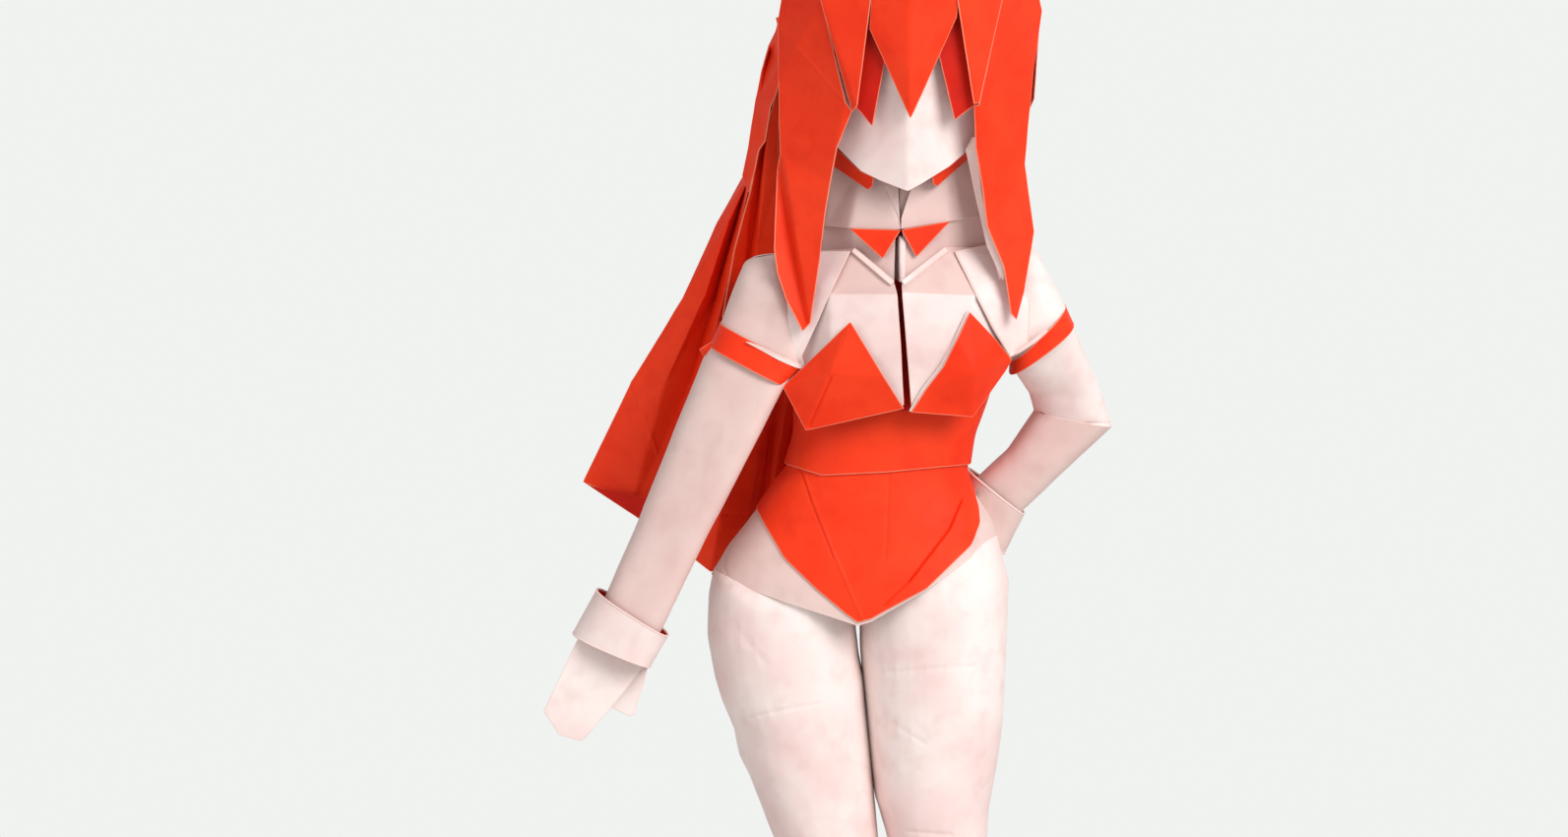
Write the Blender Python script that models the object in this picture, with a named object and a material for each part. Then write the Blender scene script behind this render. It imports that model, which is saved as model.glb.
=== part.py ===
"""A standing figure folded from one square sheet of two-coloured paper, red on one face and pale on the other.

The sheet is one piece, so the model is one solid. Each pleat, sleeve and flap of it is made below as a bent
sheet with the thickness of the folded layers, and all of them are joined where the paper runs on from one
to the next. Metres, +Z up, the figure faces -Y, and right and left are the viewer's, as seen from the front.
"""

import math
from collections import namedtuple

import bmesh
import bpy
from mathutils import Vector

# Paper
PAPER = 0.0008  # a wall of folded layers
LAYER_STEP = 0.0004  # how far one layer stands proud of the next, about half a wall
SEAM_GAP = 0.0010  # between the two edges that meet down a sleeve's back
FULLNESS = 2.3  # roundness of a section: 2 is an ellipse, more is boxier
TIP_WIDTH = 0.0009  # a folded point is this blunt
TUCK = 0.0016  # how far a flap's root runs under the layer that holds it

# Feet and legs: heights above the floor, widths and depths
HEEL_BACK = 0.0085
TOE_FORWARD = 0.0255
FOOT_WIDTH = 0.0118
FOOT_FULLNESS = 1.65
FOOT_EDGE = 0.0026
INSTEP_HEIGHT = 0.0075
INSTEP_FORWARD = 0.0135
ANKLE_HEIGHT = 0.0150
ANKLE_WIDTH = 0.0084
ANKLE_DEPTH = 0.0096
CALF_HEIGHT = 0.0530
CALF_WIDTH = 0.0148
CALF_DEPTH = 0.0160
KNEE_HEIGHT = 0.0700
KNEE_WIDTH = 0.0153
KNEE_DEPTH = 0.0152
LOW_THIGH_HEIGHT = 0.0800
LOW_THIGH_WIDTH = 0.0172
LOW_THIGH_DEPTH = 0.0196
MID_THIGH_HEIGHT = 0.0965
MID_THIGH_WIDTH = 0.0226
MID_THIGH_DEPTH = 0.0242
CROTCH_HEIGHT = 0.1180
THIGH_WIDTH = 0.0255
THIGH_DEPTH = 0.0270
LEG_GAP = 0.0008
ANKLE_BACK = 0.0020
KNEE_FORWARD = 0.0025
CROTCH_SIDE = -0.0040
LEFT_KNEE_SIDE = -0.0088
RIGHT_KNEE_SIDE = 0.0091
LEFT_FOOT_SIDE = -0.0103
RIGHT_FOOT_SIDE = 0.0113

# Trunk: rise above the crotch, side shift of the middle, width, depth in front and behind
HIP_RISE = 0.0045
HIP_SIDE = -0.0045
HIP_WIDTH = 0.0510
HIP_FRONT = 0.0142
HIP_BACK = 0.0165
HIGH_HIP_RISE = 0.0126
HIGH_HIP_SIDE = -0.0042
HIGH_HIP_WIDTH = 0.0440
HIGH_HIP_FRONT = 0.0128
HIGH_HIP_BACK = 0.0148
FLANK_RISE = 0.0187
FLANK_SIDE = -0.0034
FLANK_WIDTH = 0.0366
FLANK_FRONT = 0.0116
FLANK_BACK = 0.0124
WAIST_RISE = 0.0268
WAIST_SIDE = -0.0015
WAIST_WIDTH = 0.0298
WAIST_FRONT = 0.0103
WAIST_BACK = 0.0100
RIB_RISE = 0.0330
RIB_SIDE = 0.0000
RIB_WIDTH = 0.0292
RIB_FRONT = 0.0098
RIB_BACK = 0.0100
CHEST_RISE = 0.0420
CHEST_SIDE = 0.0018
CHEST_WIDTH = 0.0334
CHEST_FRONT = 0.0100
CHEST_BACK = 0.0112
SHOULDER_RISE = 0.0600
SHOULDER_SIDE = 0.0024
SHOULDER_WIDTH = 0.0330
SHOULDER_FRONT = 0.0080
SHOULDER_BACK = 0.0100
NECK_ROOT_RISE = 0.0672
NECK_ROOT_WIDTH = 0.0150
NECK_TOP_RISE = 0.0800
NECK_WIDTH = 0.0122
NECK_FRONT = 0.0058
NECK_BACK = 0.0062
NECK_SIDE = 0.0030

# Suit: the red layer over the trunk
LEG_CUT_RISE = 0.0180  # from the crotch to the top of the leg opening, over the hip
LEG_CUT_CURVE = 1.25
LEFT_FOLD_RISE = 0.0075  # the fold where the thigh tucks under the hip
RIGHT_FOLD_RISE = 0.0128
HIP_TOP_RISE = 0.0225
WAIST_FOLD_RISE = 0.0256  # where the suit's upper layer ends, folded over the lower one
WAIST_FOLD_SLOPE = 0.04
LEFT_DART_SIDE = -0.0145  # where the darts that frame the front panel start, at the waist fold
RIGHT_DART_SIDE = 0.0128
SUIT_TOP_RISE = 0.0405

# Bust: two folded panels that stand forward of the chest and the red cups over them
BUST_SIDE = 0.0024
BUST_TOP_RISE = 0.0630
BUST_TOP_DIP = 0.0026  # how far the top edge falls towards the slit
BUST_SHOULDER_DIP = 0.0012
BUST_SLIT_RISE = 0.0022  # of the slit's top above the crease
BUST_CREASE_RISE = 0.0558
BUST_PEAK_RISE = 0.0484
BUST_LOW_RISE = 0.0418
BUST_HEM_RISE = 0.0366
LEFT_HEM_CORNER_RISE = 0.0334
LEFT_HEM_CORNER_SIDE = 0.0156
RIGHT_HEM_CORNER_RISE = 0.0354
RIGHT_HEM_CORNER_SIDE = 0.0124
BUST_TOP_FORWARD = 0.0094
BUST_CREASE_FORWARD = 0.0168
BUST_PEAK_FORWARD = 0.0193
BUST_LOW_FORWARD = 0.0186
BUST_HEM_FORWARD = 0.0164
BUST_HALF_WIDTH = 0.0188
BUST_SLIT = 0.0006
SLIT_LEAN = 0.0010
BUST_RETURN = 0.0080  # how deep the panels turn in at the slit
SLIT_LINING_WIDTH = 0.0080  # the red layer that shows at the bottom of the slit
SLIT_LINING_TOP_RISE = 0.0490
CUP_PEAK_SIDE = 0.0098
CUP_PEAK_RISE = 0.0526
CUP_INNER_SIDE = 0.0008
CUP_INNER_RISE = 0.0366
CUP_OUTER_SIDE = 0.0190
CUP_OUTER_RISE = 0.0424

# Collar and bow
COLLAR_RISE = 0.0745
COLLAR_HEIGHT = 0.0086
COLLAR_WIDTH = 0.0252
COLLAR_TOP_WIDTH = 0.0236
COLLAR_FRONT = 0.0102
COLLAR_TOP_FRONT = 0.0088
COLLAR_BACK = 0.0088
COLLAR_TOP_BACK = 0.0080
COLLAR_SIDE = 0.0032
BOW_WIDTH = 0.0162
BOW_DROP = 0.0048
BOW_SIDE = 0.0022
BOW_TIP_SIDE = 0.0028
BOW_THICKNESS = 0.0009
BOW_GAP = 0.0008

# Head
CHIN_RISE = 0.0733
HEAD_HEIGHT = 0.0400
HEAD_SIDE = 0.0031
FACE_WIDTH = 0.0228
CHIN_FORWARD = 0.0152
BROW_FORWARD = 0.0158
FACE_BACK = 0.0100
JAW_RISE = 0.0068
NECK_OVERLAP = 0.0030
JAW_FOLD_DROP = 0.0032  # the narrow red folds that show under the jaw
JAW_FOLD_INNER = 0.0056
JAW_FOLD_OUTER = 0.0122
JAW_FOLD_BACK = 0.0018

# Hair: the cap, and the long pleated sheet behind
CAP_HEIGHT = 0.0170
CAP_WIDTH = 0.0446
CAP_FRONT = 0.0146
CAP_BACK = 0.0205
CAP_SIDE = 0.0039
CROWN_BACK = 0.0010
TEMPLE_RISE = 0.1020
HAIR_LENGTH = 0.0960
HAIR_SWEEP = 0.0335  # how far the hem is carried to the left
HAIR_HEM_WIDTH = 0.0522
HAIR_HEM_BACK = 0.0165
HAIR_HEM_DIP = 0.0110
HAIR_HEM_TILT = 0.0153
HAIR_FULLNESS = 0.55
HAIR_SWELL = 0.0040
PLEATS = 7
PLEAT_DEPTH = 0.0022
SIDE_PLEAT_LENGTH = 0.0300  # the fold of hair that shows beside each lock
SIDE_PLEAT_WIDTH = 0.0070
SIDE_PLEAT_DEPTH = 0.0050
LEFT_PLEAT_SWEEP = 0.0048
RIGHT_PLEAT_SWEEP = -0.0024

# Bangs and locks
BANG_WIDTH = 0.0141
BANG_LENGTH = 0.0165
BANG_FORWARD = 0.0036
BANG_EDGE_FORWARD = 0.0022
BANG_SIDE = 0.0008
BANG_SHOULDER_DROP = 0.0015
SIDE_BANG_SIDE = 0.0100
SIDE_BANG_LENGTH = 0.0150
SIDE_BANG_FORWARD = 0.0018
UNDER_BANG_SIDE = 0.0068
UNDER_BANG_LENGTH = 0.0172
UNDER_BANG_FORWARD = 0.0010
UNDER_BANG_WIDTH = 0.0044
UNDER_BANG_SHOULDER = 0.0060
LOCK_LENGTH = 0.0530
LOCK_FORWARD = 0.0130
LOCK_FOLD = 0.0016  # depth of the valley between a lock's broad face and its narrow outer one
LEFT_LOCK_SIDE = -0.0187
LEFT_LOCK_WIDTH = 0.0124
LEFT_LOCK_TIP_SIDE = -0.0137
RIGHT_LOCK_SIDE = 0.0244
RIGHT_LOCK_WIDTH = 0.0102
RIGHT_LOCK_TIP_SIDE = 0.0210

# Ears
EAR_LENGTH = 0.0640
EAR_WIDTH = 0.0145
EAR_ROOT_WIDTH = 0.0070
EAR_SPREAD = 0.0088
EAR_LEAN = 0.0070
EAR_FOLD = 0.0034

# Arms: places across, forwards and above the crotch, from the shoulder to the wrist
SHOULDER_TOP_RISE = 0.0620
SHOULDER_TOP_FORWARD = 0.0030
SHOULDER_TOP_WIDTH = 0.0095
LEFT_SHOULDER_SIDE = -0.0178
LEFT_BAND_SIDE = -0.0222
LEFT_BAND_FORWARD = 0.0072
LEFT_BAND_RISE = 0.0452
LEFT_WRIST_SIDE = -0.0455
LEFT_WRIST_FORWARD = 0.0108
LEFT_WRIST_RISE = -0.0030
RIGHT_SHOULDER_SIDE = 0.0205
RIGHT_BAND_SIDE = 0.0262
RIGHT_BAND_FORWARD = 0.0050
RIGHT_BAND_RISE = 0.0475
ELBOW_SIDE = 0.0322
ELBOW_BACK = 0.0050
ELBOW_RISE = 0.0332
ELBOW_WIDTH = 0.0138
RIGHT_WRIST_SIDE = 0.0164
RIGHT_WRIST_BACK = 0.0094
RIGHT_WRIST_RISE = 0.0165
LEFT_ARM_TILT = -26.0
RIGHT_BAND_TILT = 42.0
ELBOW_TILT = -12.0
RIGHT_WRIST_TILT = -36.0
ARM_DEPTH = 0.0100
WRIST_DEPTH = 0.0080
UPPER_ARM_WIDTH = 0.0138
WRIST_WIDTH = 0.0110
BAND_HEIGHT = 0.0037
CUFF_HEIGHT = 0.0074
CUFF_FLARE = 0.0026
HAND_LENGTH = 0.0176
HAND_WIDTH = 0.0116
HAND_THICKNESS = 0.0018

RED_COLOUR = (0.78, 0.045, 0.016, 1.0)
PALE_COLOUR = (0.86, 0.66, 0.62, 1.0)
PAPER_ROUGHNESS = 0.55

RED, PALE = 0, 1
LEFT, RIGHT = -1, 1

Ring = namedtuple("Ring", "x y z width front back tilt", defaults=(0.0,))
Face = namedtuple("Face", "outside inside")
RED_OUT = Face(RED, PALE)
PALE_OUT = Face(PALE, RED)
RED_DOUBLE = Face(RED, RED)
PALE_DOUBLE = Face(PALE, PALE)


def paper_material(name, colour):
    """A satin paper face of one colour."""
    material = bpy.data.materials.new(name)
    material.use_nodes = True
    shader = material.node_tree.nodes["Principled BSDF"]
    shader.inputs["Base Color"].default_value = colour
    shader.inputs["Roughness"].default_value = PAPER_ROUGHNESS
    shader.inputs["Metallic"].default_value = 0.0
    return material


def mix(a, b, share):
    """The value a share of the way from a to b."""
    return a + (b - a) * share


def ring_point(ring, angle, out=0.0, fullness=FULLNESS):
    """The point of a ring's section at an angle from its front, positive towards +X."""
    sine, cosine = math.sin(angle), math.cos(angle)
    depth = ring.front if cosine > 0.0 else ring.back
    across = math.copysign(abs(sine) ** (2.0 / fullness), sine) * (ring.width / 2 + out)
    forward = math.copysign(abs(cosine) ** (2.0 / fullness), cosine) * (depth + out)
    tilt = math.radians(ring.tilt)
    return Vector((ring.x + across * math.cos(tilt), ring.y - forward, ring.z + across * math.sin(tilt)))


def ring_between(low, high, share):
    """The ring a share of the way from one ring to the next."""
    return Ring(*(mix(a, b, share) for a, b in zip(low, high)))


def ring_at_height(rings, z):
    """The ring of a stack at one height."""
    for low, high in zip(rings, rings[1:]):
        if z <= high.z:
            break
    return ring_between(low, high, (z - low.z) / (high.z - low.z))


def wrap_angles(columns):
    """Angles round a section from the seam at the back, by the left, the front and the right, to the seam."""
    return [math.radians(-180.0 + 360.0 * column / columns) for column in range(1, columns)]


def wrap_row(ring, columns, out=0.0, fullness=FULLNESS):
    """A row of points round a ring, open at the back by the seam's gap."""
    row = [ring_point(ring, angle, out, fullness) for angle in wrap_angles(columns)]
    tilt = math.radians(ring.tilt)
    for side in (LEFT, RIGHT):
        across = side * SEAM_GAP / 2
        edge = Vector((ring.x + across * math.cos(tilt), ring.y + ring.back + out,
                       ring.z + across * math.sin(tilt)))
        row.insert(0 if side == LEFT else len(row), edge)
    return row


def sheet(name, rows, face, thickness=PAPER, proud=0.0, capped=False, cuts=()):
    """A closed sheet of paper through rows of points, lowest row first and each from left to right.

    Its outer face stands proud of the rows, and its thickness goes inwards. A capped sheet has its first row
    closed. A cut is a point and a direction, and takes off the paper beyond that point.
    """
    mesh = bpy.data.meshes.new(name)
    shape = bmesh.new()
    grid = [[shape.verts.new(point) for point in row] for row in rows]
    for low, high in zip(grid, grid[1:]):
        for a, b, c, d in zip(low, low[1:], high[1:], high):
            shape.faces.new((a, b, c, d))
    if capped:
        shape.faces.new(reversed(grid[0]))
    bmesh.ops.triangulate(shape, faces=shape.faces[:], quad_method="SHORT_EDGE")
    for point, direction in cuts:
        everything = shape.verts[:] + shape.edges[:] + shape.faces[:]
        bmesh.ops.bisect_plane(shape, geom=everything, plane_co=point, plane_no=direction, clear_outer=True)
    bmesh.ops.triangulate(shape, faces=shape.faces[:])
    for polygon in shape.faces:
        polygon.material_index = face.outside
    shape.to_mesh(mesh)
    shape.free()
    for material in (bpy.data.materials["red_paper"], bpy.data.materials["pale_paper"]):
        mesh.materials.append(material)
    piece = bpy.data.objects.new(name, mesh)
    wall = piece.modifiers.new("thickness", "SOLIDIFY")
    wall.thickness = thickness
    wall.offset = 2.0 * proud / thickness - 1.0
    wall.use_even_offset = True
    wall.use_quality_normals = True
    wall.material_offset = face.inside - face.outside
    wall.material_offset_rim = PALE - face.outside
    return piece


def trunk_rings():
    """The sections of hips, waist, chest and shoulders, from the lowest up."""
    base = CROTCH_HEIGHT
    return [
        Ring(HIP_SIDE, 0.0, base - HIP_RISE, HIP_WIDTH, HIP_FRONT, HIP_BACK),
        Ring(HIP_SIDE, 0.0, base + HIP_RISE, HIP_WIDTH, HIP_FRONT, HIP_BACK),
        Ring(HIGH_HIP_SIDE, 0.0, base + HIGH_HIP_RISE, HIGH_HIP_WIDTH, HIGH_HIP_FRONT, HIGH_HIP_BACK),
        Ring(FLANK_SIDE, 0.0, base + FLANK_RISE, FLANK_WIDTH, FLANK_FRONT, FLANK_BACK),
        Ring(WAIST_SIDE, 0.0, base + WAIST_RISE, WAIST_WIDTH, WAIST_FRONT, WAIST_BACK),
        Ring(RIB_SIDE, 0.0, base + RIB_RISE, RIB_WIDTH, RIB_FRONT, RIB_BACK),
        Ring(CHEST_SIDE, 0.0, base + CHEST_RISE, CHEST_WIDTH, CHEST_FRONT, CHEST_BACK),
        Ring(SHOULDER_SIDE, 0.0, base + SHOULDER_RISE, SHOULDER_WIDTH, SHOULDER_FRONT, SHOULDER_BACK),
        Ring(NECK_SIDE, 0.0, base + NECK_ROOT_RISE, NECK_ROOT_WIDTH, NECK_FRONT, NECK_BACK),
        Ring(NECK_SIDE, 0.0, base + NECK_TOP_RISE, NECK_WIDTH, NECK_FRONT, NECK_BACK),
    ]


def trunk_point(angle, z, out=0.0):
    """A point of the trunk's surface at an angle and a height."""
    return ring_point(ring_at_height(trunk_rings(), z), angle, out)


def fold_height(x):
    """The height of the fold where a thigh tucks under the hip, at one place across."""
    from_crotch = x - CROTCH_SIDE
    rise = LEFT_FOLD_RISE if from_crotch < 0.0 else RIGHT_FOLD_RISE
    return CROTCH_HEIGHT + rise * abs(from_crotch) / (HIP_WIDTH / 2)


def leg_cut_height(x):
    """The height of the suit's leg opening at one place across."""
    share = abs(x - CROTCH_SIDE) / (HIGH_HIP_WIDTH / 2)
    return CROTCH_HEIGHT + LEG_CUT_RISE * share ** LEG_CUT_CURVE


def waist_fold_height(x):
    """The height of the lower edge of the suit's upper layer."""
    return CROTCH_HEIGHT + WAIST_FOLD_RISE + WAIST_FOLD_SLOPE * (x - WAIST_SIDE)


def trunk_sleeve(name, bottom_edge, top_rise, rows, face, out=0.0, columns=20):
    """A layer round the trunk between a shaped lower edge and a level top."""
    low_ring = ring_at_height(trunk_rings(), CROTCH_HEIGHT + HIP_RISE)
    feet = [bottom_edge(point.x) for point in wrap_row(low_ring, columns)]
    top = CROTCH_HEIGHT + top_rise
    grid = []
    for share in rows:
        row = []
        for column, foot in enumerate(feet):
            z = mix(foot, top, share)
            row.append(wrap_row(ring_at_height(trunk_rings(), z), columns, out)[column])
        grid.append(row)
    return sheet(name, grid, face)


def trunk_front(x, z, out):
    """The point of the trunk's front at one place across and a height."""
    ring = ring_at_height(trunk_rings(), z)
    reach = min(1.0, abs(x - ring.x) / (ring.width / 2 + out))
    return Vector((x, ring.y - (ring.front + out) * (1.0 - reach ** FULLNESS) ** (1.0 / FULLNESS), z))


def front_panel():
    """The suit's front between its two darts, which run together at the crotch."""
    left_tip, right_tip = CROTCH_SIDE - TIP_WIDTH / 2, CROTCH_SIDE + TIP_WIDTH / 2
    low = CROTCH_HEIGHT + TUCK
    rows = []
    for share in (0.0, 0.25, 0.5, 0.75, 1.0):
        left, right = mix(left_tip, LEFT_DART_SIDE, share), mix(right_tip, RIGHT_DART_SIDE, share)
        row = []
        for across in (0.0, 0.25, 0.5, 0.75, 1.0):
            x = mix(left, right, across)
            z = mix(low, waist_fold_height(x) + 0.8 * TUCK, share)
            row.append(trunk_front(x, z, 1.5 * LAYER_STEP))
        rows.append(row)
    return sheet("front_panel", rows, RED_OUT)


def leg(side):
    """One leg and its foot: a sleeve from the sole up to the fold under the hip."""
    knee_side = LEFT_KNEE_SIDE if side == LEFT else RIGHT_KNEE_SIDE
    foot_side = LEFT_FOOT_SIDE if side == LEFT else RIGHT_FOOT_SIDE
    top_side = CROTCH_SIDE + side * (LEG_GAP + THIGH_WIDTH) / 2

    def thigh_side(height):
        return mix(knee_side, top_side, (height - KNEE_HEIGHT) / (CROTCH_HEIGHT - KNEE_HEIGHT))

    def level(x, y, height, width, depth):
        return Ring(x, y, height, width, depth / 2, depth / 2)

    sole = Ring(foot_side, 0.0, 0.0, FOOT_WIDTH, TOE_FORWARD, HEEL_BACK)
    rings = [
        sole,
        sole._replace(z=FOOT_EDGE),
        Ring(foot_side, 0.0, INSTEP_HEIGHT, mix(FOOT_WIDTH, ANKLE_WIDTH, 0.5), INSTEP_FORWARD, HEEL_BACK),
        level(foot_side, ANKLE_BACK, ANKLE_HEIGHT, ANKLE_WIDTH, ANKLE_DEPTH),
        level(mix(foot_side, knee_side, 0.7), 0.0, CALF_HEIGHT, CALF_WIDTH, CALF_DEPTH),
        level(knee_side, -KNEE_FORWARD, KNEE_HEIGHT, KNEE_WIDTH, KNEE_DEPTH),
        level(thigh_side(LOW_THIGH_HEIGHT), -KNEE_FORWARD / 2, LOW_THIGH_HEIGHT, LOW_THIGH_WIDTH,
              LOW_THIGH_DEPTH),
        level(thigh_side(MID_THIGH_HEIGHT), 0.0, MID_THIGH_HEIGHT, MID_THIGH_WIDTH, MID_THIGH_DEPTH),
    ]
    columns = 12
    grid = [wrap_row(ring, columns, fullness=FOOT_FULLNESS if ring.z < ANKLE_HEIGHT else FULLNESS)
            for ring in rings]
    top = level(top_side, 0.0, CROTCH_HEIGHT, THIGH_WIDTH, THIGH_DEPTH)
    top_row = wrap_row(top, columns)
    grid.append([Vector((p.x, p.y, mix(MID_THIGH_HEIGHT, fold_height(p.x), 0.75))) for p in top_row])
    for rise in (TUCK, 3 * TUCK):
        grid.append([under_trunk(point, fold_height(point.x) + rise) for point in top_row])
    return sheet("left_leg" if side == LEFT else "right_leg", grid, PALE_OUT, capped=True)


def under_trunk(point, z):
    """A leg's point carried up to a height, and pressed in under the hip's layer if it stands outside."""
    ring = ring_at_height(trunk_rings(), z)
    across, along = point.x - ring.x, point.y - ring.y
    depth = ring.front if along < 0.0 else ring.back
    reach = ((abs(across) / (ring.width / 2 - LAYER_STEP)) ** FULLNESS
             + (abs(along) / (depth - LAYER_STEP)) ** FULLNESS) ** (1.0 / FULLNESS)
    shrink = 1.0 / max(1.0, reach)
    return Vector((ring.x + across * shrink, ring.y + along * shrink, z))


def slit_middle(z):
    """The middle of the slit between the bust panels at one height: it leans to the right on its way down."""
    fallen = CROTCH_HEIGHT + BUST_CREASE_RISE - z
    return BUST_SIDE + SLIT_LEAN * fallen / (BUST_CREASE_RISE - BUST_HEM_RISE)


def bust_grid(side):
    """Points of a bust panel: rows from under the hem up to the top edge, columns from the slit outwards."""
    base = CROTCH_HEIGHT

    def row(rise, forward, inner, middle, outer, outer_forward, top_angle):
        z = base + rise
        return [
            Vector((slit_middle(z) + side * inner, -forward, z)),
            Vector((BUST_SIDE + side * middle, -forward - LAYER_STEP, z)),
            Vector((BUST_SIDE + side * outer, -outer_forward, z)),
            trunk_point(side * math.radians(top_angle), z, -LAYER_STEP),
        ]

    half = BUST_HALF_WIDTH
    slit_top = base + BUST_CREASE_RISE + BUST_SLIT_RISE
    hem_z = base + BUST_HEM_RISE
    corner_z = base + (LEFT_HEM_CORNER_RISE if side == LEFT else RIGHT_HEM_CORNER_RISE)
    corner_x = BUST_SIDE + side * (LEFT_HEM_CORNER_SIDE if side == LEFT else RIGHT_HEM_CORNER_SIDE)
    hem = [
        Vector((slit_middle(hem_z) + side * 2 * BUST_SLIT, -BUST_HEM_FORWARD, hem_z)),
        Vector((mix(slit_middle(hem_z), corner_x, 0.5), -BUST_HEM_FORWARD, mix(hem_z, corner_z, 0.5))),
        Vector((corner_x, -0.78 * BUST_HEM_FORWARD, corner_z)),
        trunk_point(side * math.radians(84.0), mix(corner_z, base + BUST_LOW_RISE, 0.5), -LAYER_STEP),
    ]
    under = [under_trunk(point, point.z - TUCK / 3) for point in hem]
    return [
        under,
        hem,
        row(BUST_LOW_RISE, BUST_LOW_FORWARD, 2 * BUST_SLIT, 0.45 * half, half, BUST_LOW_FORWARD / 2, 84.0),
        row(BUST_PEAK_RISE, BUST_PEAK_FORWARD, 1.5 * BUST_SLIT, 0.40 * half, 0.88 * half,
            0.68 * BUST_PEAK_FORWARD, 82.0),
        row(BUST_CREASE_RISE, BUST_CREASE_FORWARD, BUST_SLIT, 0.33 * half, 0.64 * half,
            0.86 * BUST_CREASE_FORWARD, 78.0),
        [
            Vector((slit_middle(slit_top) + side * BUST_SLIT, -0.86 * BUST_CREASE_FORWARD, slit_top)),
            Vector((BUST_SIDE + side * 0.24 * half, -1.2 * BUST_TOP_FORWARD,
                    base + BUST_TOP_RISE - BUST_TOP_DIP)),
            Vector((BUST_SIDE + side * 0.45 * half, -BUST_TOP_FORWARD, base + BUST_TOP_RISE)),
            trunk_point(side * math.radians(68.0), base + BUST_TOP_RISE - BUST_SHOULDER_DIP, -LAYER_STEP),
        ],
    ]


def bust_panel(side):
    """A bust panel, with its inner edge turned back towards the chest at the slit."""
    rows = []
    for row in bust_grid(side):
        edge = row[0]
        turned = Vector((edge.x, min(edge.y + BUST_RETURN, -0.8 * CHEST_FRONT), edge.z))
        rows.append([turned] + row if side == RIGHT else row[::-1] + [turned])
    return sheet("left_bust_panel" if side == LEFT else "right_bust_panel", rows, PALE_OUT)


def cup(side):
    """The red layer over a bust panel, cut to a point along two slanting edges."""
    rows = [row if side == RIGHT else row[::-1] for row in bust_grid(side)]
    peak = Vector((BUST_SIDE + side * CUP_PEAK_SIDE, 0.0, CROTCH_HEIGHT + CUP_PEAK_RISE))
    cuts = []
    for reach, rise in ((CUP_INNER_SIDE, CUP_INNER_RISE), (CUP_OUTER_SIDE, CUP_OUTER_RISE)):
        corner = Vector((BUST_SIDE + side * reach, 0.0, CROTCH_HEIGHT + rise))
        edge = corner - peak
        upward = Vector((-edge.z, 0.0, edge.x))
        cuts.append((peak, upward if upward.z > 0.0 else -upward))
    return sheet("left_cup" if side == LEFT else "right_cup", rows, RED_OUT, proud=LAYER_STEP, cuts=cuts)


def slit_lining():
    """The red layer on the chest behind the slit."""
    low = CROTCH_HEIGHT + SUIT_TOP_RISE - 2 * TUCK
    high = CROTCH_HEIGHT + SLIT_LINING_TOP_RISE
    rows = [[trunk_front(slit_middle(z) + shift * SLIT_LINING_WIDTH / 2, z, 1.5 * LAYER_STEP)
             for shift in (-1.0, 0.0, 1.0)] for z in (low, mix(low, high, 0.5), high)]
    return sheet("slit_lining", rows, RED_OUT)


def collar():
    """The turned-down collar: out from the neck under the jaw and down over the shoulders."""
    top = CROTCH_HEIGHT + COLLAR_RISE
    neck = ring_at_height(trunk_rings(), top - PAPER / 2)
    brim = Ring(COLLAR_SIDE, 0.0, top, COLLAR_TOP_WIDTH, COLLAR_TOP_FRONT, COLLAR_TOP_BACK)
    hem = Ring(COLLAR_SIDE, 0.0, top - COLLAR_HEIGHT, COLLAR_WIDTH, COLLAR_FRONT, COLLAR_BACK)
    rows = [wrap_row(hem, 14), wrap_row(brim, 14), wrap_row(neck, 14, -PAPER / 2)]
    return sheet("collar", rows, PALE_OUT)


def bow():
    """The two points of the bow that hang over the collar's edge."""
    root = CROTCH_HEIGHT + COLLAR_RISE - COLLAR_HEIGHT + LAYER_STEP
    front = -COLLAR_FRONT - BOW_THICKNESS / 2
    pieces = []
    for side in (LEFT, RIGHT):
        inner, outer = BOW_SIDE + side * BOW_GAP / 2, BOW_SIDE + side * BOW_WIDTH / 2
        tip = BOW_SIDE + side * BOW_TIP_SIDE
        rows = [
            [Vector((tip, front, root - BOW_DROP)),
             Vector((tip + side * TIP_WIDTH, front, root - BOW_DROP))],
            [Vector((inner, front, root)), Vector((outer, front, root))],
            [Vector((inner, front + TUCK, root)), Vector((outer, front + TUCK, root))],
        ]
        rows = rows if side == RIGHT else [row[::-1] for row in rows]
        pieces.append(sheet("left_bow" if side == LEFT else "right_bow", rows, RED_OUT, BOW_THICKNESS))
    return pieces


def head_row(z, half, front, back, jaw):
    """A row round the head: a crease down the front, two cheeks, the sides and the back."""
    shape = [(-0.05, 1.0), (-0.6, 0.95), (-1.0, 0.45), (-1.0, -0.35), (-0.62, -0.74), (0.0, -1.0),
             (0.62, -0.74), (1.0, -0.35), (1.0, 0.45), (0.6, 0.95), (0.05, 1.0)]
    row = []
    for across, along in shape:
        depth = back if along > 0.0 else front
        row.append(Vector((HEAD_SIDE + across * half, along * depth, z + jaw * abs(across))))
    return row


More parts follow.
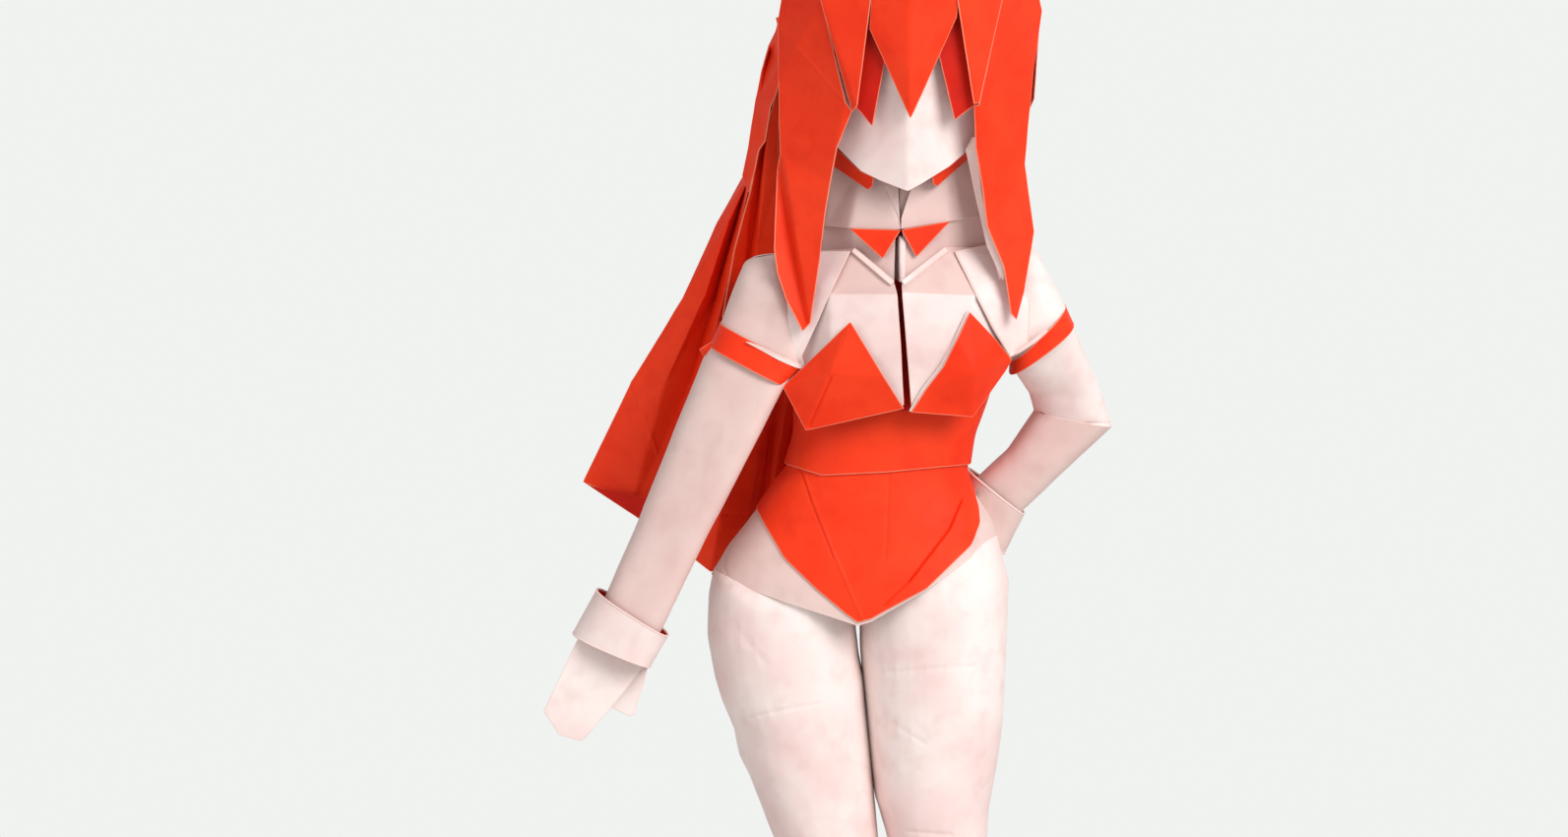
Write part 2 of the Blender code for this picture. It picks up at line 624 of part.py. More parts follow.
def head():
    """The face and the sides of the head, from the neck out to the jaw and up under the hair."""
    chin = CROTCH_HEIGHT + CHIN_RISE
    half = FACE_WIDTH / 2
    rows = [
        head_row(chin + NECK_OVERLAP, NECK_WIDTH / 2 - LAYER_STEP, NECK_FRONT - LAYER_STEP,
                 NECK_BACK - LAYER_STEP, 0.0),
        head_row(chin, half, CHIN_FORWARD, FACE_BACK, JAW_RISE),
        head_row(chin + 0.5 * HEAD_HEIGHT, half, BROW_FORWARD, FACE_BACK, 0.3 * JAW_RISE),
        head_row(chin + 0.78 * HEAD_HEIGHT, half, 0.94 * BROW_FORWARD, FACE_BACK, 0.0),
        head_row(chin + HEAD_HEIGHT, 0.9 * half, 0.74 * BROW_FORWARD, FACE_BACK, 0.0),
    ]
    return sheet("head", rows, PALE_OUT)


def jaw_fold(side):
    """The narrow red fold under one side of the jaw, from the cheek in towards the chin."""
    chin = CROTCH_HEIGHT + CHIN_RISE
    slope = JAW_RISE / (FACE_WIDTH / 2)
    rows = []
    for drop, inset in ((JAW_FOLD_DROP, JAW_FOLD_BACK), (-TUCK, JAW_FOLD_BACK / 2)):
        row = []
        for reach in (JAW_FOLD_INNER, JAW_FOLD_OUTER):
            depth = mix(CHIN_FORWARD, BROW_FORWARD / 2, reach / JAW_FOLD_OUTER)
            row.append(Vector((HEAD_SIDE + side * reach, inset - depth, chin + slope * reach - drop)))
        rows.append(row if side == RIGHT else row[::-1])
    return sheet("left_jaw_fold" if side == LEFT else "right_jaw_fold", rows, RED_DOUBLE)


def cap_rings():
    """The sections of the hair over the crown, from the temples up."""
    temple = CROTCH_HEIGHT + TEMPLE_RISE
    return [
        Ring(CAP_SIDE, 0.0, temple, CAP_WIDTH, CAP_FRONT, CAP_BACK),
        Ring(CAP_SIDE, 0.0, temple + 0.36 * CAP_HEIGHT, 0.92 * CAP_WIDTH, CAP_FRONT, 0.96 * CAP_BACK),
        Ring(CAP_SIDE, 0.0, temple + 0.76 * CAP_HEIGHT, 0.62 * CAP_WIDTH, 0.76 * CAP_FRONT, 0.76 * CAP_BACK),
        Ring(CAP_SIDE, CROWN_BACK, temple + CAP_HEIGHT, 0.24 * CAP_WIDTH, 0.26 * CAP_FRONT, 0.42 * CAP_BACK),
    ]


def on_cap(angle, height, out=0.0):
    """A point of the hair over the crown, at an angle and a height above the temples."""
    ring = ring_at_height(cap_rings(), CROTCH_HEIGHT + TEMPLE_RISE + height)
    return ring_point(ring, angle, out)


def cap():
    """The hair over the crown, closed at the top."""
    rows = [wrap_row(ring, 16) for ring in reversed(cap_rings())]
    return sheet("cap", [row[::-1] for row in rows], RED_OUT, capped=True)


def back_hair():
    """The long pleated sheet that falls from the cap and is swept to the left."""
    columns = 2 * PLEATS
    rows = [[hair_point(column / columns, share, column) for column in range(columns + 1)]
            for share in (1.0, 0.86, 0.70, 0.54, 0.38, 0.22, 0.08)]
    for height in (0.0, 0.03):
        rows.append([hair_root(column / columns, height) for column in range(columns + 1)])
    return sheet("back_hair", rows, RED_DOUBLE)


def hair_root(across, height):
    """A point of the cap's lower edge under which the long hair is tucked, from left by the back to right."""
    angle = math.radians(mix(-96.0, -264.0, across))
    return on_cap(angle, height * CAP_HEIGHT, -LAYER_STEP)


def hair_point(across, share, column):
    """A point of the long hair: across from left to right, and a share of the way down to the hem."""
    root = hair_root(across, 0.0)
    swept = share ** 1.4
    left = CAP_SIDE - CAP_WIDTH / 2 - HAIR_SWEEP * swept
    width = mix(CAP_WIDTH, HAIR_HEM_WIDTH, swept)
    chord = left + width * across
    bulge = math.sin(math.pi * across) ** HAIR_FULLNESS
    x = mix(root.x, chord, min(1.0, 4.0 * share))
    fallen = mix(root.y, root.y + HAIR_SWELL, min(1.0, 3 * share))
    y = mix(fallen, HAIR_HEM_BACK + HAIR_SWELL * bulge, share ** 0.8)
    hem = HAIR_LENGTH - HAIR_HEM_TILT * (1.0 - across) + HAIR_HEM_DIP * math.sin(math.pi * across) ** 2
    z = CROTCH_HEIGHT + TEMPLE_RISE - hem * share
    crease = PLEAT_DEPTH * min(1.0, 2.5 * share) * (0.5 if column % 2 else -0.5)
    return Vector((x, y + crease, z))


def central_bang():
    """The pointed bang over the middle of the face, creased down its middle."""
    root = 0.62 * CAP_HEIGHT
    temple = CROTCH_HEIGHT + TEMPLE_RISE
    half = BANG_WIDTH / 2
    tip_z = temple - BANG_LENGTH
    middle = HEAD_SIDE + BANG_SIDE
    front = -CAP_FRONT - BANG_FORWARD
    edge = -CAP_FRONT - BANG_EDGE_FORWARD
    rows = [
        [Vector((middle + shift * TIP_WIDTH / 2, front, tip_z)) for shift in (-1, 0, 1)],
        [Vector((middle - half, edge, temple - BANG_SHOULDER_DROP)),
         Vector((middle, front, temple - BANG_SHOULDER_DROP)),
         Vector((middle + half, edge, temple))],
        [on_cap(math.radians(angle), root, LAYER_STEP) for angle in (-24.0, 0.0, 24.0)],
    ]
    return sheet("central_bang", rows, RED_OUT)


def side_bang(side):
    """The narrower bang beside the middle one, tapering to the cheek."""
    temple = CROTCH_HEIGHT + TEMPLE_RISE
    tip = Vector((HEAD_SIDE + side * SIDE_BANG_SIDE, -CAP_FRONT - SIDE_BANG_FORWARD,
                  temple - SIDE_BANG_LENGTH))
    span = [-48.0, -36.0, -24.0] if side == LEFT else [24.0, 36.0, 48.0]
    rows = [
        [tip + Vector((shift * TIP_WIDTH / 2, 0.0, 0.0)) for shift in (-1, 0, 1)],
        [on_cap(math.radians(angle), 0.0, 1.5 * PAPER) for angle in span],
        [on_cap(math.radians(angle), 0.4 * CAP_HEIGHT, LAYER_STEP) for angle in span],
    ]
    return sheet("left_bang" if side == LEFT else "right_bang", rows, RED_OUT)


def under_bang(side):
    """The short dark point that shows between the middle bang and the one beside it."""
    temple = CROTCH_HEIGHT + TEMPLE_RISE
    tip = Vector((HEAD_SIDE + side * UNDER_BANG_SIDE, -CAP_FRONT - UNDER_BANG_FORWARD,
                  temple - UNDER_BANG_LENGTH))
    span = [-34.0, -22.0, -12.0] if side == LEFT else [12.0, 22.0, 34.0]
    rows = [
        [tip + Vector((shift * TIP_WIDTH / 2, 0.0, 0.0)) for shift in (-1, 0, 1)],
        [Vector((tip.x + shift * UNDER_BANG_WIDTH / 2, tip.y + LAYER_STEP, temple - UNDER_BANG_SHOULDER))
         for shift in (-1, 0, 1)],
        [on_cap(math.radians(angle), 0.15 * CAP_HEIGHT, LAYER_STEP / 2) for angle in span],
    ]
    return sheet("left_under_bang" if side == LEFT else "right_under_bang", rows, RED_OUT)


def lock(side):
    """The long lock that falls from the temple in front of the shoulder, its outer edge folded back."""
    temple = CROTCH_HEIGHT + TEMPLE_RISE
    tip_side = LEFT_LOCK_TIP_SIDE if side == LEFT else RIGHT_LOCK_TIP_SIDE
    outer = LEFT_LOCK_SIDE if side == LEFT else RIGHT_LOCK_SIDE
    width = LEFT_LOCK_WIDTH if side == LEFT else RIGHT_LOCK_WIDTH
    rows = [[Vector((tip_side + shift * TIP_WIDTH / 3, -LOCK_FORWARD - LAYER_STEP, temple - LOCK_LENGTH))
             for shift in (-1.5, -0.5, 0.5, 1.5)]]
    for fallen, narrowed, forward in ((0.66, 0.68, 0.77), (0.42, 0.84, 0.50), (0.28, 1.0, 0.31)):
        z = temple - fallen * LOCK_LENGTH
        inner = outer - side * width * narrowed
        back = -LOCK_FORWARD * forward
        row = [Vector((outer, back, z)),
               Vector((mix(outer, inner, 0.28), mix(back, -LOCK_FORWARD, 0.45), z)),
               Vector((mix(outer, inner, 0.46), mix(back, -LOCK_FORWARD, 0.45) + LOCK_FOLD * fallen, z)),
               Vector((inner, -LOCK_FORWARD - PAPER, z))]
        rows.append(row if side == LEFT else row[::-1])
    span = [-92.0, -74.0, -58.0, -40.0] if side == LEFT else [40.0, 58.0, 74.0, 92.0]
    for height in (0.0, 0.2):
        rows.append([on_cap(math.radians(angle), height * CAP_HEIGHT, LAYER_STEP) for angle in span])
    return sheet("left_lock" if side == LEFT else "right_lock", rows, RED_OUT)


def side_pleat(side):
    """The fold of hair beside a lock, between it and the long hair behind."""
    temple = CROTCH_HEIGHT + TEMPLE_RISE
    sweep = LEFT_PLEAT_SWEEP if side == LEFT else RIGHT_PLEAT_SWEEP
    edge = CAP_SIDE + side * CAP_WIDTH / 2
    rows = []
    for fallen in (1.0, 0.72, 0.42, 0.0):
        out = edge + side * (sweep * fallen - LAYER_STEP)
        z = temple - SIDE_PLEAT_LENGTH * fallen
        width = SIDE_PLEAT_WIDTH * (1.0 - 0.3 * fallen)
        row = [Vector((out, HAIR_SWELL * fallen + TUCK, z)),
               Vector((out - side * width * 0.4, -SIDE_PLEAT_DEPTH * 0.4 * (1.0 - fallen), z + TUCK)),
               Vector((out - side * width, -SIDE_PLEAT_DEPTH * (1.0 - fallen), z + 2 * TUCK))]
        rows.append(row if side == LEFT else row[::-1])
    return sheet("left_pleat" if side == LEFT else "right_pleat", rows, RED_DOUBLE)


def ear(side):
    """A long ear, folded down its middle, that stands up from the cap."""
    root_z = CROTCH_HEIGHT + TEMPLE_RISE + 0.74 * CAP_HEIGHT
    stations = [(0.0, EAR_ROOT_WIDTH), (0.22, 0.8 * EAR_WIDTH), (0.5, EAR_WIDTH), (0.78, 0.72 * EAR_WIDTH),
                (1.0, TIP_WIDTH)]
    rows = []
    for share, width in stations:
        middle = CAP_SIDE + side * (EAR_SPREAD + EAR_LEAN * share)
        z = root_z + EAR_LENGTH * share
        fold = EAR_FOLD * width / EAR_WIDTH
        rows.append([Vector((middle - width / 2, -fold, z)), Vector((middle, 0.0, z)),
                     Vector((middle + width / 2, -fold, z))])
    return sheet("left_ear" if side == LEFT else "right_ear", rows, PALE_OUT)


def arm_rings(side):
    """The sections of an arm from the shoulder down to the wrist."""
    def joint(x, forward, rise, width, tilt, depth=ARM_DEPTH):
        return Ring(x, -forward, CROTCH_HEIGHT + rise, width, depth / 2, depth / 2, tilt)

    if side == LEFT:
        top = joint(LEFT_SHOULDER_SIDE, SHOULDER_TOP_FORWARD, SHOULDER_TOP_RISE, SHOULDER_TOP_WIDTH,
                    LEFT_ARM_TILT)
        at_band = joint(LEFT_BAND_SIDE, LEFT_BAND_FORWARD, LEFT_BAND_RISE, UPPER_ARM_WIDTH, LEFT_ARM_TILT)
        wrist = joint(LEFT_WRIST_SIDE, LEFT_WRIST_FORWARD, LEFT_WRIST_RISE, WRIST_WIDTH, LEFT_ARM_TILT,
                      WRIST_DEPTH)
        upper = ring_between(top, at_band, 0.5)._replace(width=UPPER_ARM_WIDTH)
        return [top, upper, at_band, ring_between(at_band, wrist, 0.5), wrist]
    top = joint(RIGHT_SHOULDER_SIDE, SHOULDER_TOP_FORWARD, SHOULDER_TOP_RISE, SHOULDER_TOP_WIDTH,
                RIGHT_BAND_TILT / 2)
    at_band = joint(RIGHT_BAND_SIDE, RIGHT_BAND_FORWARD, RIGHT_BAND_RISE, UPPER_ARM_WIDTH, RIGHT_BAND_TILT)
    elbow = joint(ELBOW_SIDE, -ELBOW_BACK, ELBOW_RISE, ELBOW_WIDTH, ELBOW_TILT)
    wrist = joint(RIGHT_WRIST_SIDE, -RIGHT_WRIST_BACK, RIGHT_WRIST_RISE, WRIST_WIDTH, RIGHT_WRIST_TILT,
                  WRIST_DEPTH)
    upper = ring_between(top, at_band, 0.5)._replace(width=UPPER_ARM_WIDTH)
    above_elbow = ring_between(at_band, elbow, 0.55)
    forearm = ring_between(elbow, wrist, 0.38)._replace(tilt=RIGHT_WRIST_TILT)
    return [top, upper, at_band, above_elbow, elbow, forearm, wrist]


def arm(side):
    """An arm: a sleeve of paper from the shoulder to the wrist."""
    rows = [wrap_row(ring, 10) for ring in reversed(arm_rings(side))]
    return sheet("left_arm" if side == LEFT else "right_arm", rows, PALE_OUT)


def shifted(ring, along, width=0.0):
    """A copy of a limb's ring moved along the limb, upwards when positive, and made wider."""
    tilt = math.radians(ring.tilt)
    return ring._replace(x=ring.x - along * math.sin(tilt), z=ring.z + along * math.cos(tilt),
                         width=ring.width + width, front=ring.front + width / 2, back=ring.back + width / 2)


def band(side):
    """The red band folded round the upper arm."""
    ring = arm_rings(side)[2]
    rows = [wrap_row(shifted(ring, along), 10, LAYER_STEP * 1.5)
            for along in (-BAND_HEIGHT / 2, BAND_HEIGHT / 2)]
    return sheet("left_band" if side == LEFT else "right_band", rows, RED_OUT, thickness=1.3 * PAPER)


def cuff(side):
    """The cuff, folded back from the end of the sleeve and standing a little off it."""
    wrist = arm_rings(side)[-1]
    low = shifted(wrist, -0.12 * CUFF_HEIGHT, CUFF_FLARE)
    high = shifted(wrist, 0.88 * CUFF_HEIGHT, 1.3 * CUFF_FLARE)
    inner = shifted(wrist, 0.06 * CUFF_HEIGHT, -PAPER)
    rows = [wrap_row(inner, 10), wrap_row(low, 10), wrap_row(high, 10)]
    return sheet("left_cuff" if side == LEFT else "right_cuff", rows, PALE_OUT)


def hand(side):
    """A flat folded hand that comes out of the cuff, its end cut to two corners, and the thumb beside it."""
    wrist = arm_rings(side)[-1]
    tilt = math.radians(wrist.tilt)
    across = Vector((math.cos(tilt), 0.0, math.sin(tilt)))
    down = Vector((math.sin(tilt), 0.0, -math.cos(tilt)))
    middle = Vector((wrist.x, wrist.y - HAND_THICKNESS / 2, wrist.z))

    def place(side_share, down_share):
        return middle + across * HAND_WIDTH * side_share + down * HAND_LENGTH * down_share

    rows = [
        [place(-0.17, 1.02), place(0.0, 1.0), place(0.15, 0.98)],
        [place(-0.53, 0.89), place(-0.10, 0.85), place(0.20, 0.84)],
        [place(-0.52, 0.25), place(0.0, 0.25), place(0.41, 0.25)],
        [place(-0.44, -0.16), place(0.0, -0.16), place(0.44, -0.16)],
    ]
    back = Vector((0.0, HAND_THICKNESS * 0.8, 0.0))
    thumb = [
        [place(0.34, 0.57) + back, place(0.64, 0.56) + back],
        [place(0.28, 0.46) + back, place(0.67, 0.47) + back],
        [place(0.10, 0.06) + back, place(0.56, 0.06) + back],
    ]
    word = "left" if side == LEFT else "right"
    return [sheet(word + "_hand", rows, PALE_DOUBLE, thickness=HAND_THICKNESS),
            sheet(word + "_thumb", thumb, PALE_DOUBLE, thickness=HAND_THICKNESS)]


def join_layers(name, pieces):
    """One solid from all the sheets, with the pockets shut between two layers pressed closed."""
    layers = bpy.data.collections.new("layers")
    for piece in pieces[1:]:
        layers.objects.link(piece)
        piece.hide_render = True
        piece.display_type = "WIRE"
    bpy.context.scene.collection.children.link(layers)
    base = pieces[0]
    bpy.context.scene.collection.objects.link(base)
    union = base.modifiers.new("union", "BOOLEAN")
    union.operation = "UNION"
    union.operand_type = "COLLECTION"
    union.collection = layers
    union.solver = "EXACT"
    union.use_self = True
    bpy.context.view_layer.update()
    mesh = bpy.data.meshes.new_from_object(base.evaluated_get(bpy.context.evaluated_depsgraph_get()))
    for piece in pieces:
        bpy.data.objects.remove(piece)
    bpy.data.collections.remove(layers)
    press_pockets(mesh)
    figure = bpy.data.objects.new(name, mesh)
    bpy.context.scene.collection.objects.link(figure)
    return figure


def press_pockets(mesh):
    """Close the sealed pockets: a pocket is a separate shell of faces that encloses a negative volume."""
    shape = bmesh.new()
    shape.from_mesh(mesh)
    bmesh.ops.triangulate(shape, faces=shape.faces[:])
    left = set(shape.faces)
    while left:
        shell = grow_shell(left.pop())
        left -= shell
        volume = sum(f.verts[0].co.dot(f.verts[1].co.cross(f.verts[2].co)) for f in shell) / 6
        if volume < 0.0:
            bmesh.ops.delete(shape, geom=list(shell), context="FACES")
    shape.to_mesh(mesh)
    shape.free()


def grow_shell(seed):
    """All the faces joined to one face by shared edges."""
    shell, front = {seed}, [seed]
    while front:
        for edge in front.pop().edges:
            for face in edge.link_faces:
                if face not in shell:
                    shell.add(face)
                    front.append(face)
    return shell


def centre_on_origin(figure):
    """Move the mesh so that the middle of the figure's outline lies over the origin."""
    points = [vertex.co for vertex in figure.data.vertices]
    middle = [(min(p[axis] for p in points) + max(p[axis] for p in points)) / 2 for axis in (0, 1)]
    lowest = min(p.z for p in points)
    for vertex in figure.data.vertices:
        vertex.co -= Vector((middle[0], middle[1], lowest))


def main():
    for thing in list(bpy.data.objects):
        bpy.data.objects.remove(thing)
    paper_material("red_paper", RED_COLOUR)
    paper_material("pale_paper", PALE_COLOUR)
    pieces = [
        trunk_sleeve("chest", lambda x: CROTCH_HEIGHT + SUIT_TOP_RISE - 3 * TUCK, NECK_TOP_RISE,
                     (0.0, 0.30, 0.62, 0.78, 1.0), PALE_OUT),
        trunk_sleeve("hips", fold_height, HIP_TOP_RISE, (0.0, 0.35, 0.7, 1.0), PALE_OUT),
        trunk_sleeve("suit", leg_cut_height, SUIT_TOP_RISE, (0.0, 0.25, 0.5, 0.75, 1.0), RED_OUT, LAYER_STEP),
        front_panel(),
        trunk_sleeve("suit_top", waist_fold_height, SUIT_TOP_RISE, (0.0, 0.5, 1.0), RED_OUT, 2 * LAYER_STEP),
        slit_lining(),
        collar(),
        *bow(),
        head(),
        cap(),
        back_hair(),
        central_bang(),
    ]
    for side in (LEFT, RIGHT):
        pieces += [leg(side), bust_panel(side), cup(side), side_bang(side), under_bang(side),
                   lock(side), side_pleat(side), jaw_fold(side), ear(side)]
        pieces += [arm(side), band(side), cuff(side), *hand(side)]
    figure = join_layers("origami_figure", pieces)
    centre_on_origin(figure)


main()
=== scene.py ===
import math
from collections import namedtuple

import bpy
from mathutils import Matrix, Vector, geometry, noise


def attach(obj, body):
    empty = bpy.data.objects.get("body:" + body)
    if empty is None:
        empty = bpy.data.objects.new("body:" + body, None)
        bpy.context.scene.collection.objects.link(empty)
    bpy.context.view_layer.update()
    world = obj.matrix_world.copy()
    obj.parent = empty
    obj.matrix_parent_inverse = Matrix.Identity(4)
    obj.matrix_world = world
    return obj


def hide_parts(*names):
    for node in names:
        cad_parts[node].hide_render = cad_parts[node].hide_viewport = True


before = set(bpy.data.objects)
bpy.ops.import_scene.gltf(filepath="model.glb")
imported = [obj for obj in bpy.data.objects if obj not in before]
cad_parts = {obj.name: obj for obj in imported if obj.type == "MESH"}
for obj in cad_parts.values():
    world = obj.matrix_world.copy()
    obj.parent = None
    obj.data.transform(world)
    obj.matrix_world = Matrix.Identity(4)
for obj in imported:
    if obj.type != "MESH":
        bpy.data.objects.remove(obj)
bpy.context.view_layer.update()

# Lengths are in millimetres until a mesh is made. X runs to the viewer's right, Y away from the viewer and Z
# up, measured from the floor under the figure's spine.
MM = 0.001
LEFT, RIGHT = -1, 1
SPINE_FROM_ORIGIN = Vector((9.62, 0.53, 0.0))

# The camera, and with it the way from a place in the photograph to a place on the figure
PHOTO_WIDTH = 1593
PHOTO_HEIGHT = 850
PIXELS_PER_MM = 6.0
CAMERA_DISTANCE = 900.0
CAMERA_DROP = math.radians(6.0)
SENSOR_WIDTH = 36.0
AIM = Vector((-17.25, 0.0, 151.66))
FORWARD = Vector((0.0, math.cos(CAMERA_DROP), -math.sin(CAMERA_DROP)))
UPWARD = Vector((0.0, math.sin(CAMERA_DROP), math.cos(CAMERA_DROP)))
CAMERA_PLACE = AIM - CAMERA_DISTANCE * FORWARD

# Paper
WALL = 0.20
ROLL = 0.12
ROLL_SIDES = 6
FINENESS = 0.95
CREASE_FINENESS = 0.24
SHARP_FOLD = math.radians(50.0)
LAYER = 0.45
CRUMPLE = 0.07
GRAIN = 0.10
GRAIN_DEPTH = 0.0006
CLOUD_SCALE = 70.0
COCKLE_SCALE = 160.0
SPOT_SCALE = 260.0
SHEEN_SCALE = 420.0
FIBRE_SCALE = 2600.0
FULLNESS = 2.3
SEAM_LIFT = 0.35
ROW_SPACING = 1.6
TRUNK_COLUMNS = 112
SOLE = 0.2

Face = namedtuple("Face", "outside inside edge")
Ring = namedtuple("Ring", "middle across front back dip", defaults=(0.0,))


def at(across, down, depth):
    """The place seen at a pixel of the photograph, at a depth in mm behind the figure's middle plane."""
    scale = PIXELS_PER_MM * CAMERA_DISTANCE
    ray = FORWARD + UPWARD * ((PHOTO_HEIGHT / 2 - down) / scale)
    ray.x = (across - PHOTO_WIDTH / 2) / scale
    return CAMERA_PLACE + ray * ((depth - CAMERA_PLACE.y) / ray.y)


def seen_at(place):
    """The pixel at which a place is seen."""
    ray = place - CAMERA_PLACE
    scale = PIXELS_PER_MM * CAMERA_DISTANCE / ray.dot(FORWARD)
    return Vector((PHOTO_WIDTH / 2 + ray.x * scale, PHOTO_HEIGHT / 2 - ray.dot(UPWARD) * scale))


def mix(a, b, share):
    """The value a share of the way from a to b."""
    return a + (b - a) * share


def add_object(name, data):
    """Put a mesh, a lamp or a camera into the scene."""
    thing = bpy.data.objects.new(name, data)
    bpy.context.scene.collection.objects.link(thing)
    return thing


# Shader maths

class Signal:
    """One output socket of a material, with the sums that are done on it."""

    def __init__(self, maker, socket):
        self.maker = maker
        self.socket = socket

    def sum(self, operation, other, swapped=False):
        """This signal and another, or a number, put through one sum."""
        pair = (other, self) if swapped else (self, other)
        return self.maker.node("ShaderNodeMath", {"operation": operation}, {0: pair[0], 1: pair[1]})

    def __add__(self, other):
        return self.sum("ADD", other)

    def __radd__(self, other):
        return self.sum("ADD", other, True)

    def __sub__(self, other):
        return self.sum("SUBTRACT", other)

    def __rsub__(self, other):
        return self.sum("SUBTRACT", other, True)

    def __mul__(self, other):
        return self.sum("MULTIPLY", other)

    def __rmul__(self, other):
        return self.sum("MULTIPLY", other, True)


class NodeMaker:
    """Adds nodes to one node tree."""

    def __init__(self, tree):
        self.tree = tree

    def node(self, kind, settings=None, inputs=None, output=0):
        """One node of a kind, with its settings first and then the values or links of its sockets."""
        made = self.tree.nodes.new(kind)
        for key, value in (settings or {}).items():
            setattr(made, key, value)
        for key, value in (inputs or {}).items():
            self.feed(made.inputs[key], value)
        return Signal(self, made.outputs[output])

    def feed(self, socket, value):
        """Link a signal to a socket, or set the socket to a value."""
        if isinstance(value, Signal):
            self.tree.links.new(value.socket, socket)
        else:
            socket.default_value = value

    def blend(self, share, a, b):
        """A colour between two colours."""
        return self.node("ShaderNodeMix", {"data_type": "RGBA"}, {0: share, 6: a, 7: b}, 2)

    def cloud(self, scale, detail=2.0, roughness=0.5):
        """Soft noise over the paper, from 0 to 1."""
        place = self.node("ShaderNodeTexCoord", output=3)
        return self.node("ShaderNodeTexNoise", {}, {"Vector": place, "Scale": scale, "Detail": detail,
                                                    "Roughness": roughness})

    def step(self, signal, low, high):
        """A signal spread from 0 at the low value to 1 at the high one."""
        return self.node("ShaderNodeMapRange", {}, {0: signal, 1: low, 2: high})


class PaperMaker(NodeMaker):
    """Builds one material's nodes."""

    def __init__(self, name):
        self.material = bpy.data.materials.new(name)
        self.material.use_nodes = True
        super().__init__(self.material.node_tree)
        self.shader = self.tree.nodes["Principled BSDF"]

    def finish(self, **inputs):
        """Feed the shader's inputs, each named with low lines for its spaces, and give the material."""
        for name, value in inputs.items():
            self.feed(self.shader.inputs[name.replace("_", " ")], value)
        return self.material


def paper(name, roughness, *shades):
    """Thin satin paper: one colour, clouded with a second and a third, with a fine fibre and soft cockles."""
    plain, tint, deep = (colour(*shade) for shade in shades)
    maker = PaperMaker(name)
    clouds = maker.step(maker.cloud(CLOUD_SCALE, 3.0), 0.36, 0.66)
    spots = maker.step(maker.cloud(SPOT_SCALE), 0.50, 0.78)
    base = maker.blend(clouds * 0.8, plain, tint)
    base = maker.blend(spots * 0.35, base, deep)
    height = maker.cloud(FIBRE_SCALE, 4.0, 0.7) * 0.25 + maker.cloud(COCKLE_SCALE)
    bump = maker.node("ShaderNodeBump", {}, {"Strength": GRAIN, "Distance": GRAIN_DEPTH, "Height": height})
    sheen = roughness + 0.10 * (maker.cloud(SHEEN_SCALE) - 0.5)
    return maker.finish(Base_Color=base, Roughness=sheen, Normal=bump, Specular_IOR_Level=0.14)


def colour(red, green, blue):
    """A colour from its screen values, 0 to 255."""
    return tuple((v / 255.0) ** 2.2 for v in (red, green, blue)) + (1.0,)


BACKDROP = colour(240, 242, 240)
FLOOR_RADIUS = 12.0
FLOOR_SIDES = 64
FLOOR_GLOW = 0.02
FADE_START = 0.22
FADE_END = 0.42
RED_PAPER = paper("red_paper_face", 0.54, (242, 64, 32), (234, 52, 24), (212, 38, 18))
# Painted shade: a darker copy of the red paper, used for the inner sides of red sheets and for dark sheets
# that stand where there is only shade
SHADED_RED_PAPER = paper("red_paper_painted_shade", 0.56, (206, 34, 18), (186, 26, 14), (160, 20, 12))
PALE_PAPER = paper("pale_paper_face", 0.55, (243, 226, 221), (234, 200, 196), (220, 180, 176))
# Painted shade: a darker copy of the pale paper, for pale parts that lie in shade: the collar, upper chest,
# bust tops, hip panels, lock linings, the left arm and the right forearm and cuff
SHADED_PALE_PAPER = paper("pale_paper_painted_shade", 0.58, (226, 198, 191), (220, 184, 178), (206, 166, 160))
# Painted highlight: the red paper's rims and rolled edges are tinted light to stand in for the light line
# they catch; the rolled rim also catches real light
RED_RIM_HIGHLIGHT = paper("red_paper_edge_painted_highlight", 0.5, (244, 138, 112), (238, 118, 92), (230, 100, 76))
PALE_EDGE = paper("pale_paper_edge", 0.5, (240, 214, 206), (236, 198, 190), (228, 182, 174))

# The insides of red and pale-red sheets are the painted-shade red; SHADED_FACE is painted shade on both
# sides, for sheets that stand in for shade
RED_FACE = Face(RED_PAPER, SHADED_RED_PAPER, RED_RIM_HIGHLIGHT)
SHADED_FACE = Face(SHADED_RED_PAPER, SHADED_RED_PAPER, RED_RIM_HIGHLIGHT)
PALE_FACE = Face(PALE_PAPER, PALE_PAPER, PALE_EDGE)
SHADED_PALE_FACE = Face(SHADED_PALE_PAPER, SHADED_PALE_PAPER, PALE_EDGE)
PALE_RED_FACE = Face(PALE_PAPER, SHADED_RED_PAPER, PALE_EDGE)
SHADED_PALE_RED_FACE = Face(SHADED_PALE_PAPER, SHADED_RED_PAPER, PALE_EDGE)
HAIR_FACE = Face(RED_PAPER, RED_PAPER, RED_RIM_HIGHLIGHT)


# Paper sheets

def crumple(place, amount):
    """How far the paper stands off its flat at one place: soft cockles and a few faint ridges."""
    soft = noise.noise(place * 0.16)
    fine = noise.noise(place * 0.45 + Vector((7.0, 3.0, 1.0)))
    ridge = 0.5 - abs(noise.noise(place * 0.11 + Vector((2.0, 9.0, 4.0)))) * 2.2
    return amount * (soft + 0.35 * fine + 0.8 * max(0.0, ridge))


def crease(deep, wide, *pixels):
    """Creases of a depth and a width in mm along a line of pixels. A depth below zero is a raised fold."""
    ends = [Vector(pixel) for pixel in pixels]
    return [(start, end - start, deep, wide) for start, end in zip(ends, ends[1:])]


def crease_gaps(place, creases):
    """How far off each crease lies, as seen from the front, in widths of the crease."""
    pixel = seen_at(place)
    for start, run, deep, wide in creases:
        share = min(1.0, max(0.0, (pixel - start).dot(run) / run.length_squared))
        yield (pixel - start - run * share).length / PIXELS_PER_MM / wide, deep


def crease_depth(place, normal, creases):
    """The depth of the creases at one place on the side that faces forward."""
    if normal.y > 0.0:
        return 0.0
    depths = [deep * math.exp(-gap * gap) for gap, deep in crease_gaps(place, creases) if gap < 3.0]
    return max(depths, key=abs, default=0.0)


